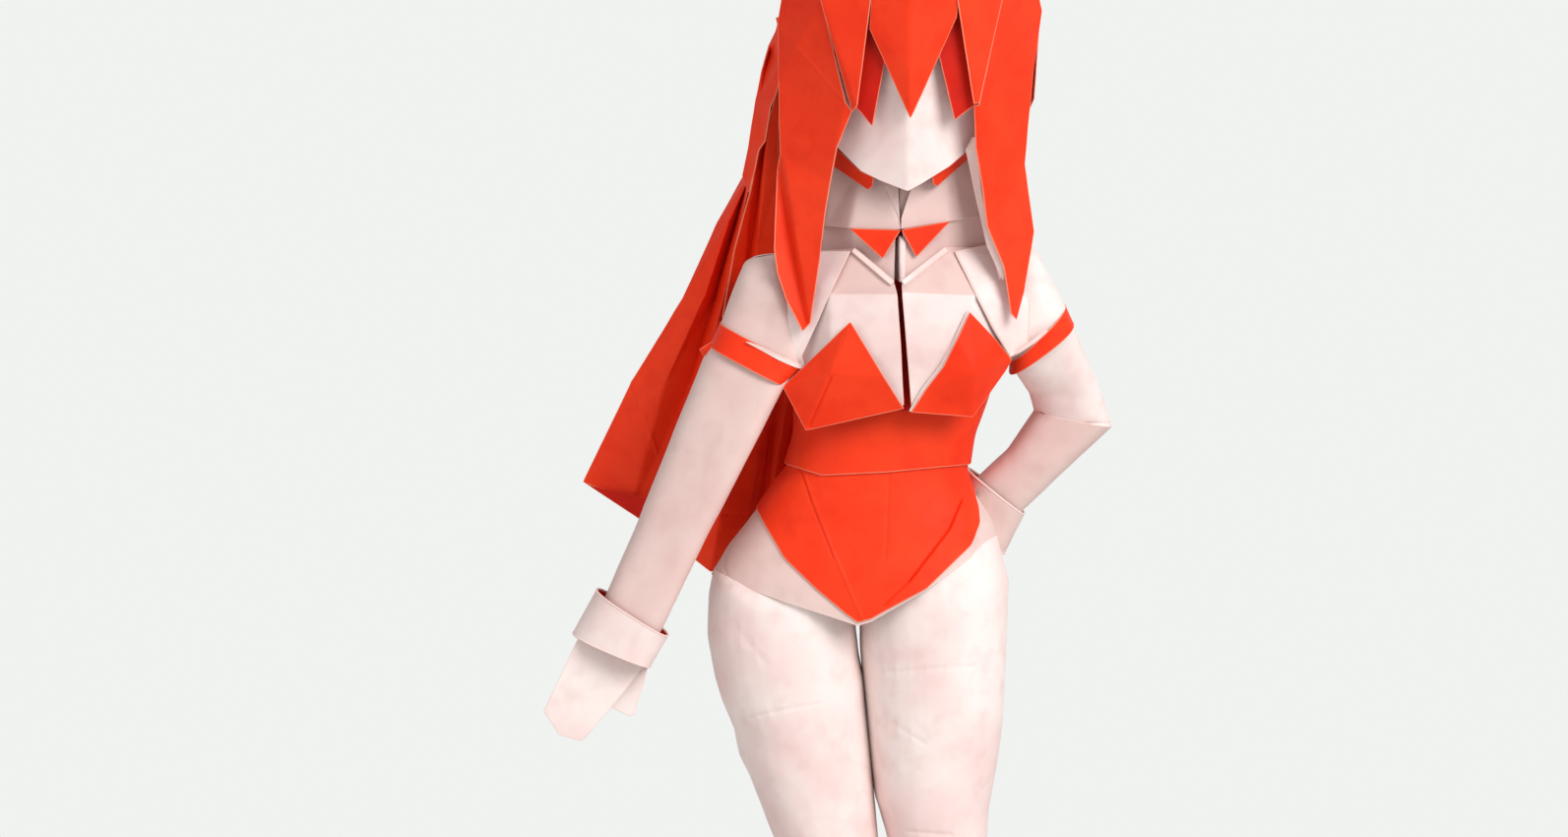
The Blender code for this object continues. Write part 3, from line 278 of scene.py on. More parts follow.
def split_triangle(a, b, c, ab, bc, ca, places):
    """The triangles that replace one triangle once some of its sides have a middle."""
    if ab is None and bc is None and ca is None:
        return [(a, b, c)]
    if ab is not None and bc is not None and ca is not None:
        return [(a, ab, ca), (ab, b, bc), (ca, bc, c), (ab, bc, ca)]
    if ab is None or (bc is None and ca is not None):
        return split_triangle(b, c, a, bc, ca, ab, places)
    if bc is None:
        return [(a, ab, c), (ab, b, c)]
    if (places[a] - places[bc]).length < (places[ab] - places[c]).length:
        return [(ab, b, bc), (a, ab, bc), (a, bc, c)]
    return [(ab, b, bc), (a, ab, c), (ab, bc, c)]


def refine(places, triangles, fineness, creases):
    """Split every side that is longer than the fineness, and longer still where a crease runs."""
    def side(i, j):
        return (i, j) if i < j else (j, i)

    def limit(place):
        near = any(gap < 2.0 for gap, _ in crease_gaps(place, creases))
        return fineness * CREASE_FINENESS if near else fineness

    for _ in range(10):
        middles = {}
        for a, b, c in triangles:
            for key in (side(a, b), side(b, c), side(c, a)):
                if key not in middles:
                    start, end = places[key[0]], places[key[1]]
                    middle = (start + end) / 2
                    middles[key] = None
                    if (end - start).length > limit(middle):
                        middles[key] = len(places)
                        places.append(middle)
        finer = []
        for a, b, c in triangles:
            finer += split_triangle(a, b, c, middles[side(a, b)], middles[side(b, c)], middles[side(c, a)],
                                    places)
        if len(finer) == len(triangles):
            break
        triangles = finer
    return triangles


def rim_chains(triangles):
    """The open rim of a sheet as closed chains of places, in the direction of its triangles."""
    sides = {(t[i], t[(i + 1) % 3]) for t in triangles for i in range(3)}
    onward = {a: b for a, b in sides if (b, a) not in sides}
    chains = []
    while onward:
        start = min(onward)
        chain = [start]
        here = onward.pop(start)
        while here != start and here in onward:
            chain.append(here)
            here = onward.pop(here)
        chains.append(chain)
    return chains


def facing(places, triangles):
    """The direction in which the sheet faces at each place."""
    normals = [Vector() for _ in places]
    for a, b, c in triangles:
        normal = (places[b] - places[a]).cross(places[c] - places[a])
        for index in (a, b, c):
            normals[index] += normal
    return [normal.normalized() for normal in normals]


def soften(places, triangles, fixed, rounds):
    """Draw every place that isn't on the rim toward the middle of its neighbours."""
    beside = [set() for _ in places]
    for a, b, c in triangles:
        beside[a] |= {b, c}
        beside[b] |= {a, c}
        beside[c] |= {a, b}
    for _ in range(rounds):
        sums = [sum((places[other] for other in others), Vector()) for others in beside]
        places[:] = [place if index in fixed else (place + sums[index] / len(beside[index])) / 2
                     for index, place in enumerate(places)]


def edge_tube(places, normals, chain, radius):
    """Rings of places round a sheet's rim."""
    count = len(chain)
    rings = []
    for index, here in enumerate(chain):
        along = places[chain[(index + 1) % count]] - places[chain[index - 1]]
        side = along.cross(normals[here]).normalized()
        upward = side.cross(along).normalized()
        rings.append([places[here] + (upward * math.cos(turn) + side * math.sin(turn)) * radius
                      for turn in (2 * math.pi * step / ROLL_SIDES for step in range(ROLL_SIDES))])
    return rings


def thicken(places, triangles, chains, roll):
    """Corners, facets and face numbers of a sheet with its wall and, if it has a roll, its folded rim."""
    normals = facing(places, triangles)
    count = len(places)
    corners = [place + normal * WALL / 2 for place, normal in zip(places, normals)]
    corners += [place - normal * WALL / 2 for place, normal in zip(places, normals)]
    facets = triangles + [(a + count, c + count, b + count) for a, b, c in triangles]
    slots = [0] * len(triangles) + [1] * len(triangles)
    for chain in chains:
        facets += [(b, a, a + count, b + count) for a, b in zip(chain, chain[1:] + chain[:1])]
        slots += [2] * len(chain)
        if roll:
            first = len(corners)
            for circle in edge_tube(places, normals, chain, roll):
                corners += circle
            for index in range(len(chain)):
                low = first + index * ROLL_SIDES
                high = first + (index + 1) % len(chain) * ROLL_SIDES
                for step in range(ROLL_SIDES):
                    beyond = (step + 1) % ROLL_SIDES
                    facets.append((low + step, high + step, high + beyond, low + beyond))
                    slots.append(2)
    return corners, facets, slots


def make_piece(name, places, triangles, face, fineness=FINENESS, roll=ROLL, soft=2, amount=CRUMPLE,
               creases=()):
    """Turn flat facets into paper: round the folds, cockle the sheet and give it a wall and a folded rim."""
    used = sorted({index for triangle in triangles for index in triangle})
    order = {index: count for count, index in enumerate(used)}
    places = [places[index] for index in used]
    triangles = [tuple(order[index] for index in triangle) for triangle in triangles]
    triangles = refine(places, triangles, fineness, creases)
    chains = rim_chains(triangles)
    soften(places, triangles, {index for chain in chains for index in chain}, soft)
    normals = facing(places, triangles)
    places = [place + normal * (crumple(place, amount) - crease_depth(place, normal, creases))
              for place, normal in zip(places, normals)]
    corners, facets, slots = thicken(places, triangles, chains, roll)
    mesh = bpy.data.meshes.new(name)
    mesh.from_pydata([(corner + SPINE_FROM_ORIGIN) * MM for corner in corners], [], facets)
    mesh.polygons.foreach_set("material_index", slots)
    mesh.shade_smooth()
    mesh.set_sharp_from_angle(angle=SHARP_FOLD)
    for material in face:
        mesh.materials.append(material)
    piece = add_object(name, mesh)
    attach(piece, "root")
    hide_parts("origami_figure")
    return piece


def flap(name, corners, facets=None, face=RED_FACE, **finish):
    """A folded flap. Its corners are places or pixels with a depth. Its facets list them anticlockwise."""
    corners = [corner if isinstance(corner, Vector) else at(*corner) for corner in corners]
    facets = facets or [tuple(range(len(corners)))]
    triangles = []
    for facet in facets:
        flat = geometry.tessellate_polygon([[corners[index] for index in facet]])
        outward = geometry.normal([corners[index] for index in facet])
        for a, b, c in flat:
            a, b, c = facet[a], facet[b], facet[c]
            turned = (corners[b] - corners[a]).cross(corners[c] - corners[a]).dot(outward) < 0.0
            triangles.append((a, c, b) if turned else (a, b, c))
    return make_piece(name, corners, triangles, face, **finish)


def pleated(name, rows, face=RED_FACE, **finish):
    """A sheet through rows of places, lowest row first, each from left to right as seen from its outside."""
    places = [place for row in rows for place in row]
    wide = len(rows[0])
    triangles = []
    for low in range(0, len(places) - wide, wide):
        for a in range(low, low + wide - 1):
            b, c, d = a + 1, a + 1 + wide, a + wide
            triangles += [(a, b, c), (a, c, d)]
    return make_piece(name, places, triangles, face, **finish)


# Sleeves

def ring(left, right, front, back=None, dip=0.0):
    """A sleeve's section between two pixels of its outline. Its front may dip below its sides."""
    left, right = at(*left), at(*right)
    return Ring((left + right) / 2, (right - left) / 2, front, back or front, dip)


def ring_place(section, angle, out, fullness=FULLNESS):
    """A place on a section, at an angle from its front."""
    sine, cosine = math.sin(angle), math.cos(angle)
    depth = (section.front if cosine > 0.0 else section.back) + out
    across = math.copysign(abs(sine) ** (2.0 / fullness), sine)
    reach = section.across * ((section.across.length + out) / section.across.length)
    forward = math.copysign(abs(cosine) ** (2.0 / fullness), cosine)
    return section.middle + reach * across - Vector((0.0, forward * depth, section.dip * max(0.0, forward)))


def ring_along(rings, place):
    """The section at a place along a sleeve, counted in sections."""
    index = min(int(place), len(rings) - 2)
    share = place - index
    return Ring(*(mix(a, b, share) for a, b in zip(rings[index], rings[index + 1])))


def turn_at(share):
    """The angle from the front at a share of the way round a sleeve, which laps over itself at the back."""
    return math.radians(mix(-176.0, 188.0, share))


def seam_lift(share):
    """How far a sleeve's edge stands off where it laps over the other one."""
    return SEAM_LIFT * max(0.0, (share - 0.9) / 0.1)


def sleeve_rows(rings, columns, fullness=FULLNESS):
    """Rows of places round a sleeve, lowest section first, lapped over itself down its back."""
    rows = []
    places = []
    for index, (low, high) in enumerate(zip(rings, rings[1:])):
        steps = max(1, round((high.middle - low.middle).length / ROW_SPACING))
        places += [index + step / steps for step in range(steps)]
    for place in places + [len(rings) - 1]:
        section = ring_along(rings, place)
        shares = [column / columns for column in range(columns + 1)]
        rows.append([ring_place(section, turn_at(share), seam_lift(share), fullness) for share in shares])
    return rows


def sleeve(name, rings, face=PALE_FACE, fullness=FULLNESS, columns=30, **finish):
    """A sleeve of paper round a limb."""
    pleated(name, sleeve_rows(rings, columns, fullness), face, **finish)


def standing(left, right, down, front, back=None, depth=0.0):
    """A level section of a limb, by where its two sides are seen."""
    return ring((left, down, depth), (right, down, depth), front, back)


def limb(*sections):
    """Level sections of a limb, from the lowest up."""
    return [standing(*section) for section in sections]


def tube(*sections):
    """Slanted sections of a limb, each from two pixels and a depth."""
    return [ring(*section) for section in sections]


def foot(across):
    """The sections of one foot, from the sole up to the ankle."""
    sizes = ((0.0, SOLE, 5.9, 25.5, 8.5), (0.0, 2.6, 5.9, 25.0, 8.5), (0.0, 7.5, 5.0, 13.5, 8.3),
             (2.0, 15.0, 4.2, 4.8, 4.8))
    return [Ring(Vector((across, back, height)), Vector((half, 0.0, 0.0)), toe, heel)
            for back, height, half, toe, heel in sizes]


def legs():
    """Both legs with their feet, from the sole up to the fold under the hip."""
    left = foot(-10.3) + limb(
        (796, 884, 1000, 8.0), (802, 894, 915, 7.6, None, -2.5), (786.7, 891.7, 850, 9.8, None, -1.2),
        (771, 888, 810, 10.8, None, -0.6), (760.8, 886, 784, 11.4, None, -0.3), (751.3, 884.7, 765, 11.8),
        (746.6, 882, 739, 12.2), (733.7, 879, 709, 12.6), (727, 877, 688, 12.9, 13.0),
        (718.8, 872, 655, 13.2, 13.4), (720.4, 869.5, 625, 13.3, 14.0), (725.2, 868.5, 606, 13.3, 14.6),
    )
    right = foot(11.3) + limb(
        (908, 996, 1000, 8.0), (908, 998, 915, 7.6, None, -2.5), (902, 1002.6, 850, 9.6, None, -1.2),
        (893.5, 1004, 820, 10.6, None, -0.6), (888.8, 1007, 806, 10.9, None, -0.4),
        (884.5, 1013, 772, 11.6), (881, 1018, 735, 12.2), (877.5, 1021.5, 702, 12.7),
        (874, 1024, 665, 13.1, 13.2), (873.5, 1011.5, 643, 12.2, 13.4),
    )
    left_creases = (crease(0.10, 0.4, (747.8, 732), (790, 722), (831.6, 714.6))
                    + crease(0.07, 0.7, (751, 640), (777, 673)))
    right_creases = (crease(0.09, 0.5, (897.6, 682.7), (945, 679), (989.7, 676.8))
                     + crease(0.08, 0.5, (907, 734.6), (940, 755.8))
                     + crease(0.14, 0.4, (922.4, 844.3), (966, 847.9)))
    leg("left_leg", left, LEFT_FOLD, left_creases)
    leg("right_leg", right, RIGHT_FOLD, right_creases)


def height_on(line, x):
    """The height of a line of places at one place across."""
    line = sorted(line, key=lambda place: place.x)
    x = min(max(x, line[0].x), line[-1].x)
    for a, b in zip(line, line[1:]):
        if x <= b.x:
            return mix(a.z, b.z, (x - a.x) / (b.x - a.x))
    return line[-1].z


# Where the thigh tucks under the hip, and where the suit's leg opening runs, from the side in to the crotch
CROTCH = (875.5, 636.0)
LEFT_FOLD = [(724, 583), (741, 590), (800, 611.5), CROTCH]
RIGHT_FOLD = [CROTCH, (940, 599), (1005, 552), (1014, 548)]
LEG_CUT = [(771.6, 515.5), (780.8, 534), (799, 566.5), (832, 599), (868.6, 630), (876, 633), (891, 623.7),
           (940, 597), (985, 552), (993, 530), (991.5, 515), (986.5, 497)]
HIP_LAP = 9.0
FOLD_GAP = 0.4
WAIST = [(807, 471.5), (838, 481.8), (900, 478.5), (979.8, 470.6)]


def leg(name, rings, fold, creases):
    """One leg, whose top follows the fold under the hip."""
    line = [at(across, down, -10.0) for across, down in fold]
    rows = sleeve_rows(rings, 30)
    top_row = rows[-1]
    knee = rings[-4].middle.z
    for row in rows:
        for index, place in enumerate(row):
            if place.z > knee:
                share = (place.z - knee) / (top_row[index].z - knee)
                row[index] = Vector((place.x, place.y, mix(knee, height_on(line, place.x) - FOLD_GAP, share)))
    rows[-1] = [Vector((place.x, tuck_under(place, 0.6).y, place.z)) for place in top_row]
    for rise in (0.6, 2, 5):
        rows.append([tuck_under(Vector((p.x, p.y, height_on(line, p.x) - FOLD_GAP + rise)), 0.5)
                     for p in top_row])
    pleated(name, rows, PALE_FACE, creases=creases, roll=0.0, fineness=1.1)
    sole = [Vector((place.x, place.y, SOLE)) for place in rows[0][:-2]]
    flap(name.replace("leg", "sole"), sole, face=PALE_FACE, roll=0.0, amount=0.0)


# Trunk

# The trunk's sections from the crotch up to the neck, by where its sides are seen
TRUNK = limb(
    (722, 1023, 640, 14.4, 16.5), (722, 1024, 602, 14.4, 16.5), (724, 1023, 583, 14.0, 16.2),
    (735, 1016.8, 565, 13.4, 15.4), (742, 1013, 553, 12.9, 14.8), (762, 1007, 528, 12.1, 13.4),
    (771, 999, 516, 11.7, 12.6), (782, 988, 499, 11.2, 11.8), (789, 984, 489, 10.9, 11.2),
    (801.2, 979.8, 475, 10.5, 10.4), (806, 982, 458, 10.3, 10.0), (811.4, 984.9, 440, 10.0),
    (812, 1000, 400, 9.6, 10.8), (811, 1012, 350, 9.2, 11.2), (812, 1014, 300, 8.4, 10.6),
    (815, 1012, 262, 7.6, 9.8), (868, 970, 222, 6.0, 6.6), (882, 956, 190, 6.0, 6.4),
)


def trunk_ring(z):
    """The trunk's section at one height."""
    for low, high in zip(TRUNK, TRUNK[1:]):
        if z <= high.middle.z:
            break
    share = (z - low.middle.z) / (high.middle.z - low.middle.z)
    return Ring(*(mix(a, b, share) for a, b in zip(low, high)))


def tuck_under(place, gap):
    """A place pressed in under the trunk's surface where it stands outside it."""
    section = trunk_ring(place.z)
    across = place.x - section.middle.x
    along = place.y - section.middle.y
    depth = section.front if along < 0.0 else section.back
    ratios = abs(across) / (section.across.length - gap), abs(along) / (depth - gap)
    shrink = 1.0 / max(1.0, (ratios[0] ** FULLNESS + ratios[1] ** FULLNESS) ** (1 / FULLNESS))
    return Vector((section.middle.x + across * shrink, section.middle.y + along * shrink, place.z))


def trunk_angle(across, down):
    """The angle from the front and the height at which the trunk is seen at a pixel."""
    place = at(across, down, -10.0)
    for _ in range(6):
        section = trunk_ring(place.z)
        offset = min(1.0, max(-1.0, (place.x - section.middle.x) / section.across.length))
        angle = math.asin(math.copysign(abs(offset) ** (FULLNESS / 2), offset))
        place = at(across, down, ring_place(section, angle, 0.0).y)
    return angle, place.z


def meet(line, angle):
    """The height of a line drawn on the trunk at one angle, with the back's line the same as the front's."""
    if abs(angle) > math.pi / 2:
        angle = math.copysign(math.pi - abs(angle), angle)
    if angle <= line[0][0]:
        return line[0][1]
    for (a, low), (b, high) in zip(line, line[1:]):
        if angle <= b:
            return mix(low, high, (angle - a) / (b - a))
    return line[-1][1]


def finely(line, parts=6):
    """A line of pixels with each stretch in several parts."""
    points = [Vector(pixel) for pixel in line]
    finer = [mix(a, b, part / parts) for a, b in zip(points, points[1:]) for part in range(parts)]
    return finer + points[-1:]


def trunk_layer(name, lower, upper, face, out, **finish):
    """A layer of paper round the trunk between two lines of pixels."""
    lower = [trunk_angle(*pixel) for pixel in finely(lower)]
    upper = [trunk_angle(*pixel) for pixel in finely(upper)]
    shares = [column / TRUNK_COLUMNS for column in range(TRUNK_COLUMNS + 1)]
    angles = [turn_at(share) for share in shares]
    lifts = [out + seam_lift(share) for share in shares]
    bottoms = [meet(lower, angle) for angle in angles]
    tops = [meet(upper, angle) for angle in angles]
    count = max(2, round(max(t - b for t, b in zip(tops, bottoms)) / ROW_SPACING))
    rows = [[ring_place(trunk_ring(mix(bottom, top, step / count)), angle, lift)
             for angle, lift, bottom, top in zip(angles, lifts, bottoms, tops)] for step in range(count + 1)]
    pleated(name, rows, face, **finish)


def trunk():
    """The hips, the red suit in its two layers, and the chest behind the bust."""
    fold = LEFT_FOLD + RIGHT_FOLD[1:]
    hip_creases = crease(0.1, 0.3, (742, 553), (735, 575), (741, 590))
    lap = [(across, down - HIP_LAP) for across, down in LEG_CUT]
    # The hip panels are in painted shade, darker so the fold over the thighs reads as shaded
    trunk_layer("hip_panels", fold, lap, SHADED_PALE_FACE, 0.1, creases=hip_creases)
    darts = (crease(0.20, 0.2, (813.5, 475.7), (823.7, 509.4))
             + crease(0.10, 0.2, (823.7, 509.4), (846, 566.5))
             + crease(-0.12, 0.25, (816.5, 478), (826.7, 509.4), (849.0, 566.5), (876.5, 630))
             + crease(0.6, 0.2, (977.8, 507.3), (964.5, 538), (923.7, 591))
             + crease(0.26, 0.2, (923.7, 591), (898, 615.5))
             + crease(0.12, 0.3, (903, 481), (901, 542), (899, 566.5)))
    trunk_layer("suit_lower", LEG_CUT, [(900, 455)], RED_FACE, LAYER, creases=darts, fineness=0.75)
    trunk_layer("suit_upper", WAIST, [(900, 402)], RED_FACE, 2 * LAYER)
    trunk_layer("chest", [(900, 430)], [(900, 195)], PALE_FACE, -0.3, roll=0.0, fineness=1.8)


def bust():
    """The two bust panels, the red cups over them and the folds of the sleeves that lap over their sides."""
    left = [
        (834, 255, -5), (869, 252.8, -9.4), (907.3, 286, -14), (911, 299, -16.2), (843, 299, -13.6),
        (821, 344, -11), (796.5, 393, -8.6), (821, 430.5, -11), (917.4, 411, -15.6), (846, 376, -15.6),
        (914.5, 350, -17), (808, 300, 1), (800, 360, 1), (905, 330, -7), (912, 420, -7), (902, 290, -7),
    ]
    facets = [(4, 3, 2, 1), (0, 4, 1), (0, 5, 4), (5, 9, 4), (4, 9, 3), (9, 10, 3), (5, 6, 9), (6, 7, 9),
              (7, 8, 9), (9, 8, 10), (11, 5, 0), (12, 5, 11), (12, 6, 5)]
    linings = [(3, 10, 13), (10, 8, 14, 13), (2, 3, 13, 15)]
    right = [
        (1007, 252, -5), (961, 251.6, -9.4), (916.8, 285.6, -14), (917, 297, -16.4), (990, 300, -14),
        (1010, 338, -12.5), (1027, 364, -10), (985, 418, -12), (926.6, 415, -15.4), (991, 361, -16.2),
        (921.5, 350, -17.4), (1020, 300, 1), (1022, 360, 1), (925, 330, -7), (930, 420, -7), (922, 290, -7),
    ]
    for side, corners, order in (("left", left, 1), ("right", right, -1)):
        turned = [facet[::order] for facet in facets]
        # The tops of the bust panels are in painted shade from the head; the linings are dark red painted
        # shade
        flap(f"{side}_bust_top", corners, turned[:2], SHADED_PALE_FACE, amount=0.03)
        flap(f"{side}_bust_panel", corners, turned[2:], PALE_FACE, amount=0.03)
        flap(f"{side}_bust_lining", corners, [facet[::order] for facet in linings], SHADED_FACE, roll=0.0)
    flap("left_bust_hem", [(868.4, 252.3, -9.9), (866.2, 255.8, -10.3), (905.2, 289, -15),
                           (907.7, 285.4, -14.7)], face=PALE_FACE, roll=0.15)
    flap("right_bust_hem", [(960.4, 251.2, -9.9), (916.4, 285.4, -14.7), (918.8, 289, -15),
                            (962.8, 254.8, -10.3)], face=PALE_FACE, roll=0.15)
    left_cup = [(864, 327.5, -17), (796.2, 393, -12.8), (819, 436.6, -14.4), (917.6, 414.5, -16.6),
                (845, 378, -17.8), (897, 382, -18.2)]
    flap("left_cup", left_cup, [(0, 1, 4), (1, 2, 4), (2, 3, 4), (4, 3, 5), (4, 5, 0)], RED_FACE,
         creases=crease(0.3, 0.2, (822, 433), (844, 384)) + crease(0.1, 0.2, (844, 384), (858.6, 340)))
    right_cup = [(985.3, 317.8, -16.2), (1012, 346, -14.6), (1027.4, 365.5, -12.2), (1021, 377, -12),
                 (988, 423, -14.4), (926.4, 418, -16.3), (940.7, 396, -17.1), (958.6, 373, -17.8),
                 (973, 344.3, -17.8), (990, 378, -18)]
    flap("right_cup", right_cup, [(0, 8, 9), (8, 7, 9), (7, 6, 9), (6, 5, 4), (6, 4, 9), (9, 4, 3),
                                  (9, 3, 2, 1), (9, 1, 0)], RED_FACE)
    lining = [(986, 317.5, -15.8), (974, 344, -17.3), (959, 372.5, -17.3), (941, 395.5, -16.7),
              (927, 418.4, -16), (924.2, 417, -15.8), (938, 393.2, -16.4), (956, 370, -16.9),
              (970.6, 342.2, -16.8), (983, 315.8, -15.4)]
    flap("right_cup_lining", lining, [(9, 8, 1, 0), (8, 7, 2, 1), (7, 6, 3, 2), (6, 5, 4, 3)], PALE_FACE)
    # A dark sheet of painted shade, seen through the slit between the bust panels
    flap("bust_backing", [(900, 284, -8.5), (904, 417, -11.5), (932, 417, -11.5), (930, 284, -8.5)],
         face=SHADED_FACE, roll=0.0)
    left_fold = [(863, 255.6, -10), (846, 291, -13.8), (831.8, 322.9, -13.6), (814, 362, -13.4),
                 (817, 372, -12.9), (780, 366, -11), (780, 330, -10.6), (785, 290, -8.6), (812, 256, -6)]
    flap("left_shoulder_fold", left_fold, [(0, 8, 7, 1), (1, 7, 6, 2), (2, 6, 5, 3), (3, 5, 4)], PALE_FACE)
    right_fold = [(971, 256, -9.9), (994.3, 303.2, -14.4), (1010.4, 335.4, -13.4), (1026.4, 361.6, -12),
                  (1044, 349, -10), (1046, 310, -10), (1036, 262, -7), (1003, 249.6, -6.6)]
    flap("right_shoulder_fold", right_fold, [(0, 1, 6, 7), (1, 5, 6), (1, 2, 5), (2, 3, 4, 5)], PALE_FACE,
         roll=0.24)


def neckwear():
    """The two halves of the collar, the strips down the throat and the bow's two points."""
    # The collar, throat strip and upper chest are in painted shade: the shade of the head and the locks
    left = [(838, 150, 2), (843, 130, 2), (845, 150, -5.5), (878, 168, -8.2), (901, 176, -8.8),
            (911.5, 180, -8.8), (913.2, 222, -10.4), (914.5, 232.5, -10.8), (863.4, 231, -9.6),
            (838, 229, -5), (836, 231, 3)]
    flap("left_collar", left, [(10, 9, 2, 0), (0, 2, 1), (9, 8, 3, 2), (8, 7, 6, 4, 3), (6, 5, 4)],
         SHADED_PALE_FACE, creases=crease(0.2, 0.2, (900.5, 192), (913, 224)))
    right = [(992, 130, 2), (994, 150, -5.5), (962, 170, -8.2), (944, 176, -9), (930, 180, -9.6),
             (916.4, 221, -10.8), (915.9, 232, -11), (963.5, 224, -9.8), (998, 220, -5), (1000, 222, 3)]
    flap("right_collar", right, [(0, 1, 8, 9), (8, 1, 2, 7), (7, 2, 3, 6), (6, 3, 4, 5)], SHADED_PALE_FACE)
    flap("throat_strip", [(931, 180, -8.2), (913.6, 180, -8.2), (915.2, 228, -9.6)], [(1, 2, 0)], SHADED_PALE_FACE)
    # A dark sheet of painted shade behind the gap at the throat
    flap("throat_backing", [(900, 176, -7), (902, 300, -6), (926, 300, -6), (926, 176, -7)], face=SHADED_FACE,
         roll=0.0)
    lower = [(911.9, 247, -9), (914.2, 240, -11), (919.5, 246, -11.3), (919, 284, -13.3), (914.8, 286, -13.5),
             (912, 284, -10)]
    flap("throat_fold", lower, [(5, 4, 1, 0), (4, 3, 2, 1)], PALE_FACE)
    upper_left = [(836, 262, -4.6), (836, 226, -4.2), (866, 226, -8.8), (909.6, 229, -10), (908, 290, -13),
                  (869, 256, -8.9)]
    flap("left_upper_chest", upper_left, [(0, 5, 2, 1), (5, 4, 3, 2)], SHADED_PALE_FACE, roll=0.0)
    upper_right = [(1008, 262, -4.6), (1008, 218, -4.2), (963, 220, -9), (917, 227, -10.2), (917.5, 288, -13),
                   (961, 255, -8.9)]
    flap("right_upper_chest", upper_right, [(1, 2, 5, 0), (2, 3, 4, 5)], SHADED_PALE_FACE, roll=0.0)
    flap("bow_left", [(864.2, 232.4, -10.6), (914.2, 234, -11.8), (896.7, 262, -12)], [(0, 2, 1)])
    flap("bow_right", [(916.4, 233.8, -11.8), (964.3, 225.2, -10.8), (931, 260.2, -12)], [(0, 2, 1)])


def head():
    """The pale prow of the face, the sides of the head and the red folds under the jaw."""
    face = [(922, 193.5, -15.4), (895, 183, -13.8), (875, 173, -12.4), (852, 150, -9.6), (846, 60, -9.4),
            (923, 20, -16.6), (935, 186.5, -14.7), (964, 168.5, -12.4), (989, 147, -9.6), (996, 60, -9.4),
            (923, 110, -16.4)]
    flap("face", face, [(4, 3, 2, 10), (2, 1, 0, 10), (4, 10, 5), (5, 10, 9), (10, 0, 6, 7), (10, 7, 8, 9)],
         PALE_RED_FACE, amount=0.05)
    half = 11.2
    middle = 3.1
    for side, name in ((LEFT, "left_head_side"), (RIGHT, "right_head_side")):
        outline = ((0.1, 10.0), (0.8, 8.5), (1.02, 2.0), (1.0, -9.2))
        rows = [[Vector((middle + side * x * half, y, z)) for x, y in outline] for z in (198.0, 215.0, 228.0)]
        rows = rows if side == LEFT else [row[::-1] for row in rows]
        pleated(name, rows, PALE_RED_FACE, roll=0.0)
    left = [(850.6, 152, -8.8), (874.8, 174.2, -11.4), (887.5, 180, -12.6), (886.3, 188.6, -11.8),
            (881.9, 192.1, -10.6), (845.5, 167.2, -6.6)]
    flap("left_jaw_fold", left, [(5, 4, 3, 2, 1, 0)], fineness=0.7)
    right = [(982.5, 151, -8.8), (961.6, 170.4, -11.4), (947.6, 178.7, -12.6), (948.2, 186.4, -11.8),
             (952, 188.6, -10.6), (984, 160.2, -6.6)]
    flap("right_jaw_fold", right, fineness=0.7)
    flap("throat", [(880, 198, -6), (956, 198, -6), (956, 150, -8), (880, 150, -8)], face=PALE_RED_FACE,
         roll=0.0)


def bangs():
    """The bangs over the face: the middle one, the pair beside it and the points behind them, dark with
    painted shade.
    """
    crown = Vector((3.6, -13.0, 231.5))
    middle = [(884, 29, -16.6), (925, 119.5, -18.6), (971.5, 17, -16.6), (924, -14, -19.2),
              crown + Vector((-4.5, 0.6, -2.5)), crown, crown + Vector((4.5, 0.6, -2.5)), (925, 70, -19.4),
              (887, -14, -16.6), (974, -14, -16.6)]
    flap("middle_bang", middle, [(0, 1, 7), (7, 1, 2), (0, 7, 3, 8), (7, 2, 9, 3), (8, 3, 5, 4),
                                 (3, 9, 6, 5)])
    left = [(831.5, -10, -13.4), (866.5, 113, -16.2), (870.5, 107, -17), (885.6, -10, -17),
            crown + Vector((-11.5, 2.0, -3.5)), crown + Vector((-4.0, 0.0, -1.5))]
    flap("left_bang", left, [(0, 1, 2, 3), (0, 3, 5, 4)])
    right = [(971.5, -10, -17), (989.6, 105, -17), (994.5, 104, -16.2), (1020, -10, -13.4),
             crown + Vector((11.5, 2.0, -3.5)), crown + Vector((4.0, 0.0, -1.5))]
    flap("right_bang", right, [(0, 1, 2, 3), (0, 3, 4, 5)])
    # Dark flaps of painted shade behind the bangs
    flap("left_under_bang", [(876, 20, -14.6), (868, 106, -15), (886, 127.5, -15.8), (899, 60, -16),
                             (897, 10, -15.6)], face=SHADED_FACE)
    flap("right_under_bang", [(962, 0, -15.6), (954.5, 57, -16), (970, 121, -15.8), (990.5, 106, -15),
                              (978, 10, -14.6)], face=SHADED_FACE)


